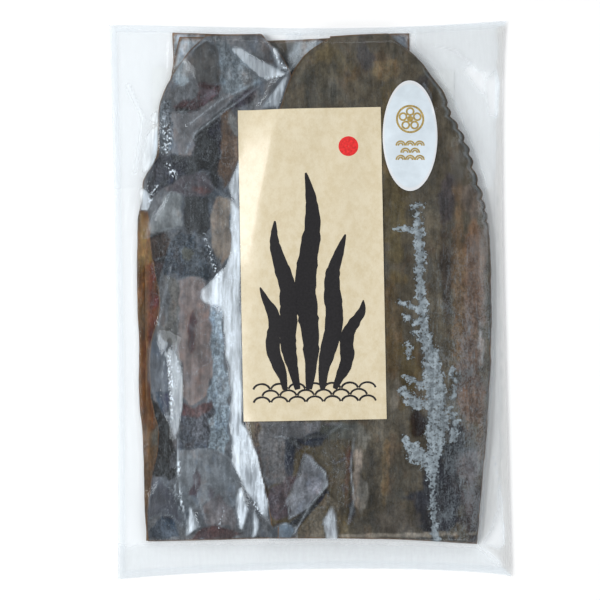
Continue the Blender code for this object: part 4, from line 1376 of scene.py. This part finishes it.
def sticker_material(name, tint):
    """Silvered film: a satin sheen under a thin clear coat, with a pale cut rim."""
    material, tree = blank_material(name)
    place = place_of(tree)
    cloud = span(tree, grain(tree, place, 8 * MM, 3.0), 0.3, 0.7, 0.94, 1.06)
    colour = mixed(tree, attribute(tree, "edge"), mixed(tree, 1.0, tint, cloud, "MULTIPLY"), (0.86, 0.88, 0.9))
    sockets = {
        "Base Color": colour, "Metallic": 0.25, "Roughness": span(tree, grain(tree, place, 0.4 * MM), 0.3, 0.7, 0.3, 0.42),
        "Coat Weight": 0.5, "Coat Roughness": 0.12, "Normal": bump(tree, grain(tree, place, 0.5 * MM), 0.01 * MM),
    }
    show(tree, shader(tree, "BsdfPrincipled", sockets).outputs[0])
    return material


def sticker_prints():
    """The oval's ornament: a round blossom over two crests of waves."""
    gold = [ring((0, 9), 7.2, 0.55), disc((0, 9), 1.7)]
    for k in range(5):
        turn = pi / 2 + k * 2 * pi / 5
        gold.append(ring((4.1 * cos(turn), 9 + 4.1 * sin(turn)), 1.9, 0.5, 24))
    for row in range(3):
        for k in (-1, 0, 1):
            middle = (k * 5.2 + (row % 2) * 2.6, -5.5 - row * 3.9)
            if abs(middle[0]) < 6:
                for radius in (2.4, 1.3):
                    arc = [(middle[0] + radius * cos(turn), middle[1] + radius * sin(turn)) for turn in np.linspace(0, pi, 7)]
                    gold.append(stroke(arc, np.full(7, 0.42), 16))
    return gold


def build_prints(settings):
    black = ink_material("Black ink", settings.ink_colour, 0.35)
    red = ink_material("Red ink", (0.55, 0.02, 0.02), 0.4)
    gold = ink_material("Gold foil", settings.gold_colour, 0.3, 0.55)
    print_piece("label_drawing", tall_label_prints(), black, label_height, LABEL_CENTRE, LABEL_TURN)
    print_piece("label_sun", [disc((21, 64), 5.4)], red, label_height, LABEL_CENTRE, LABEL_TURN)
    print_piece("oval_ornament", sticker_prints(), gold, label_height, STICKER_CENTRE, 0.0)


# ---------------------------------------------------------------------------
# The stage

FLOOR_SIDE = 6.0
FLOOR_DROP = 0.3 * MM
CAMERA_HEIGHT = 1.2
CAMERA_PLACE = -5.5 * MM
LENS = 130.9


def area_light(name, place, size, radiance):
    """A rectangular light that faces the bag."""
    light = bpy.data.lights.new(name, "AREA")
    light.shape = "RECTANGLE"
    light.size, light.size_y = size
    light.energy = pi * radiance * size[0] * size[1]
    lamp = bpy.data.objects.new(name, light)
    lamp.location = place
    lamp.rotation_euler = (-Vector(place)).to_track_quat("-Z", "Y").to_euler()
    bpy.context.scene.collection.objects.link(lamp)


def build_stage(settings):
    half = FLOOR_SIDE / 2
    corners = [(-half, -half, -FLOOR_DROP), (half, -half, -FLOOR_DROP), (half, half, -FLOOR_DROP), (-half, half, -FLOOR_DROP)]
    floor = mesh_piece("floor", corners, [(0, 1, 2, 3)])
    material, tree = blank_material("Floor")
    show(tree, shader(tree, "BsdfPrincipled", {"Base Color": (0.97, 0.97, 0.965), "Roughness": 0.9, "Specular IOR Level": 0.0}).outputs[0])
    floor.data.materials.append(material)
    area_light("key", (-1.8, 0.1, 1.8), (1.0, 1.8), settings.key_light)
    area_light("fill", (1.9, -0.2, 1.5), (1.6, 1.6), 1.8)
    area_light("head light", (0.1, 2.2, 1.4), (2.0, 1.0), 2.8)
    area_light("foot light", (0.1, -2.2, 1.4), (2.0, 1.0), 2.8)
    world = bpy.data.worlds.new("Studio")
    world.use_nodes = True
    world.node_tree.nodes["Background"].inputs["Color"].default_value = (0.17, 0.175, 0.185, 1)
    world.node_tree.nodes["Background"].inputs["Strength"].default_value = 1.0
    bpy.context.scene.world = world
    bpy.context.scene.view_settings.view_transform = "Standard"
    camera = bpy.data.cameras.new("camera")
    camera.lens = LENS
    camera.clip_start = 0.05
    view = bpy.data.objects.new("camera", camera)
    view.location = (CAMERA_PLACE, 0, CAMERA_HEIGHT)
    bpy.context.scene.collection.objects.link(view)
    bpy.context.scene.camera = view


# ---------------------------------------------------------------------------
# The add-on

class KelpBagSettings(PropertyGroup):
    film_tint: FloatVectorProperty(
        name="Film tint", description="Colour of the light that passes the clear film", subtype="COLOR",
        default=(0.98, 0.986, 0.99), min=0, max=1,
    )
    film_mist: FloatVectorProperty(
        name="Film mist", description="Colour of the film where it is clouded", subtype="COLOR",
        default=(0.77, 0.87, 0.96), min=0, max=1,
    )
    bloom_colour: FloatVectorProperty(
        name="Bloom", description="Colour of the pale bloom on the kelp", subtype="COLOR",
        default=(0.26, 0.305, 0.335), min=0, max=1,
    )
    label_tint: FloatVectorProperty(
        name="Label", description="Light tone of the tall label's paper", subtype="COLOR",
        default=(0.73, 0.65, 0.475), min=0, max=1,
    )
    label_shade: FloatVectorProperty(
        name="Label mottle", description="Dark tone of the tall label's paper", subtype="COLOR",
        default=(0.625, 0.525, 0.335), min=0, max=1,
    )
    back_tint: FloatVectorProperty(
        name="Back label", description="Light tone of the back label's paper", subtype="COLOR",
        default=(0.98, 0.98, 0.96), min=0, max=1,
    )
    back_shade: FloatVectorProperty(
        name="Back label mottle", description="Dark tone of the back label's paper", subtype="COLOR",
        default=(0.94, 0.935, 0.90), min=0, max=1,
    )
    sticker_tint: FloatVectorProperty(
        name="Sticker", description="Colour of the oval sticker", subtype="COLOR",
        default=(0.79, 0.885, 0.95), min=0, max=1,
    )
    ink_colour: FloatVectorProperty(
        name="Ink", description="Colour of the drawing on the tall label", subtype="COLOR",
        default=(0.012, 0.011, 0.012), min=0, max=1,
    )
    gold_colour: FloatVectorProperty(
        name="Gold", description="Colour of the ornament on the oval sticker", subtype="COLOR",
        default=(0.50, 0.36, 0.12), min=0, max=1,
    )
    key_light: FloatProperty(
        name="Key light", description="Brightness of the soft light on the left", default=9.5, min=0,
    )


class KELP_OT_film(Operator):
    """Build the bag's front and back film over the pile of kelp"""

    bl_idname = "kelp_bag.film"
    bl_label = "Film"

    def execute(self, context):
        build_film(context.scene.kelp_bag)
        return {"FINISHED"}


class KELP_OT_sheets(Operator):
    """Build the kelp sheets of both stacks"""

    bl_idname = "kelp_bag.sheets"
    bl_label = "Kelp sheets"

    def execute(self, context):
        build_kelp(context.scene.kelp_bag)
        return {"FINISHED"}


class KELP_OT_labels(Operator):
    """Build the tall label, the oval sticker and the back label"""

    bl_idname = "kelp_bag.labels"
    bl_label = "Labels"

    def execute(self, context):
        build_labels(context.scene.kelp_bag)
        return {"FINISHED"}


class KELP_OT_prints(Operator):
    """Build the drawings printed on the tall label and the oval sticker"""

    bl_idname = "kelp_bag.prints"
    bl_label = "Prints"

    def execute(self, context):
        build_prints(context.scene.kelp_bag)
        return {"FINISHED"}


class KELP_OT_stage(Operator):
    """Build the floor, the lights and the camera"""

    bl_idname = "kelp_bag.stage"
    bl_label = "Stage"

    def execute(self, context):
        build_stage(context.scene.kelp_bag)
        return {"FINISHED"}


class KELP_PT_panel(Panel):
    """The bag's colours and the steps that build it"""

    bl_idname = "KELP_PT_panel"
    bl_label = "Kelp bag"
    bl_space_type = "VIEW_3D"
    bl_region_type = "UI"
    bl_category = "Kelp bag"

    def draw(self, context):
        layout = self.layout
        for name in KelpBagSettings.__annotations__:
            layout.prop(context.scene.kelp_bag, name)
        for step in STEPS:
            layout.operator(step.bl_idname)


STEPS = (KELP_OT_film, KELP_OT_sheets, KELP_OT_labels, KELP_OT_prints, KELP_OT_stage)
CLASSES = (KelpBagSettings, *STEPS, KELP_PT_panel)


def register():
    for item in CLASSES:
        bpy.utils.register_class(item)
    bpy.types.Scene.kelp_bag = PointerProperty(type=KelpBagSettings)


def unregister():
    del bpy.types.Scene.kelp_bag
    for item in reversed(CLASSES):
        bpy.utils.unregister_class(item)


def main():
    register()
    bpy.ops.kelp_bag.film()
    bpy.ops.kelp_bag.sheets()
    bpy.ops.kelp_bag.labels()
    bpy.ops.kelp_bag.prints()
    bpy.ops.kelp_bag.stage()


if __name__ == "__main__":
    main()
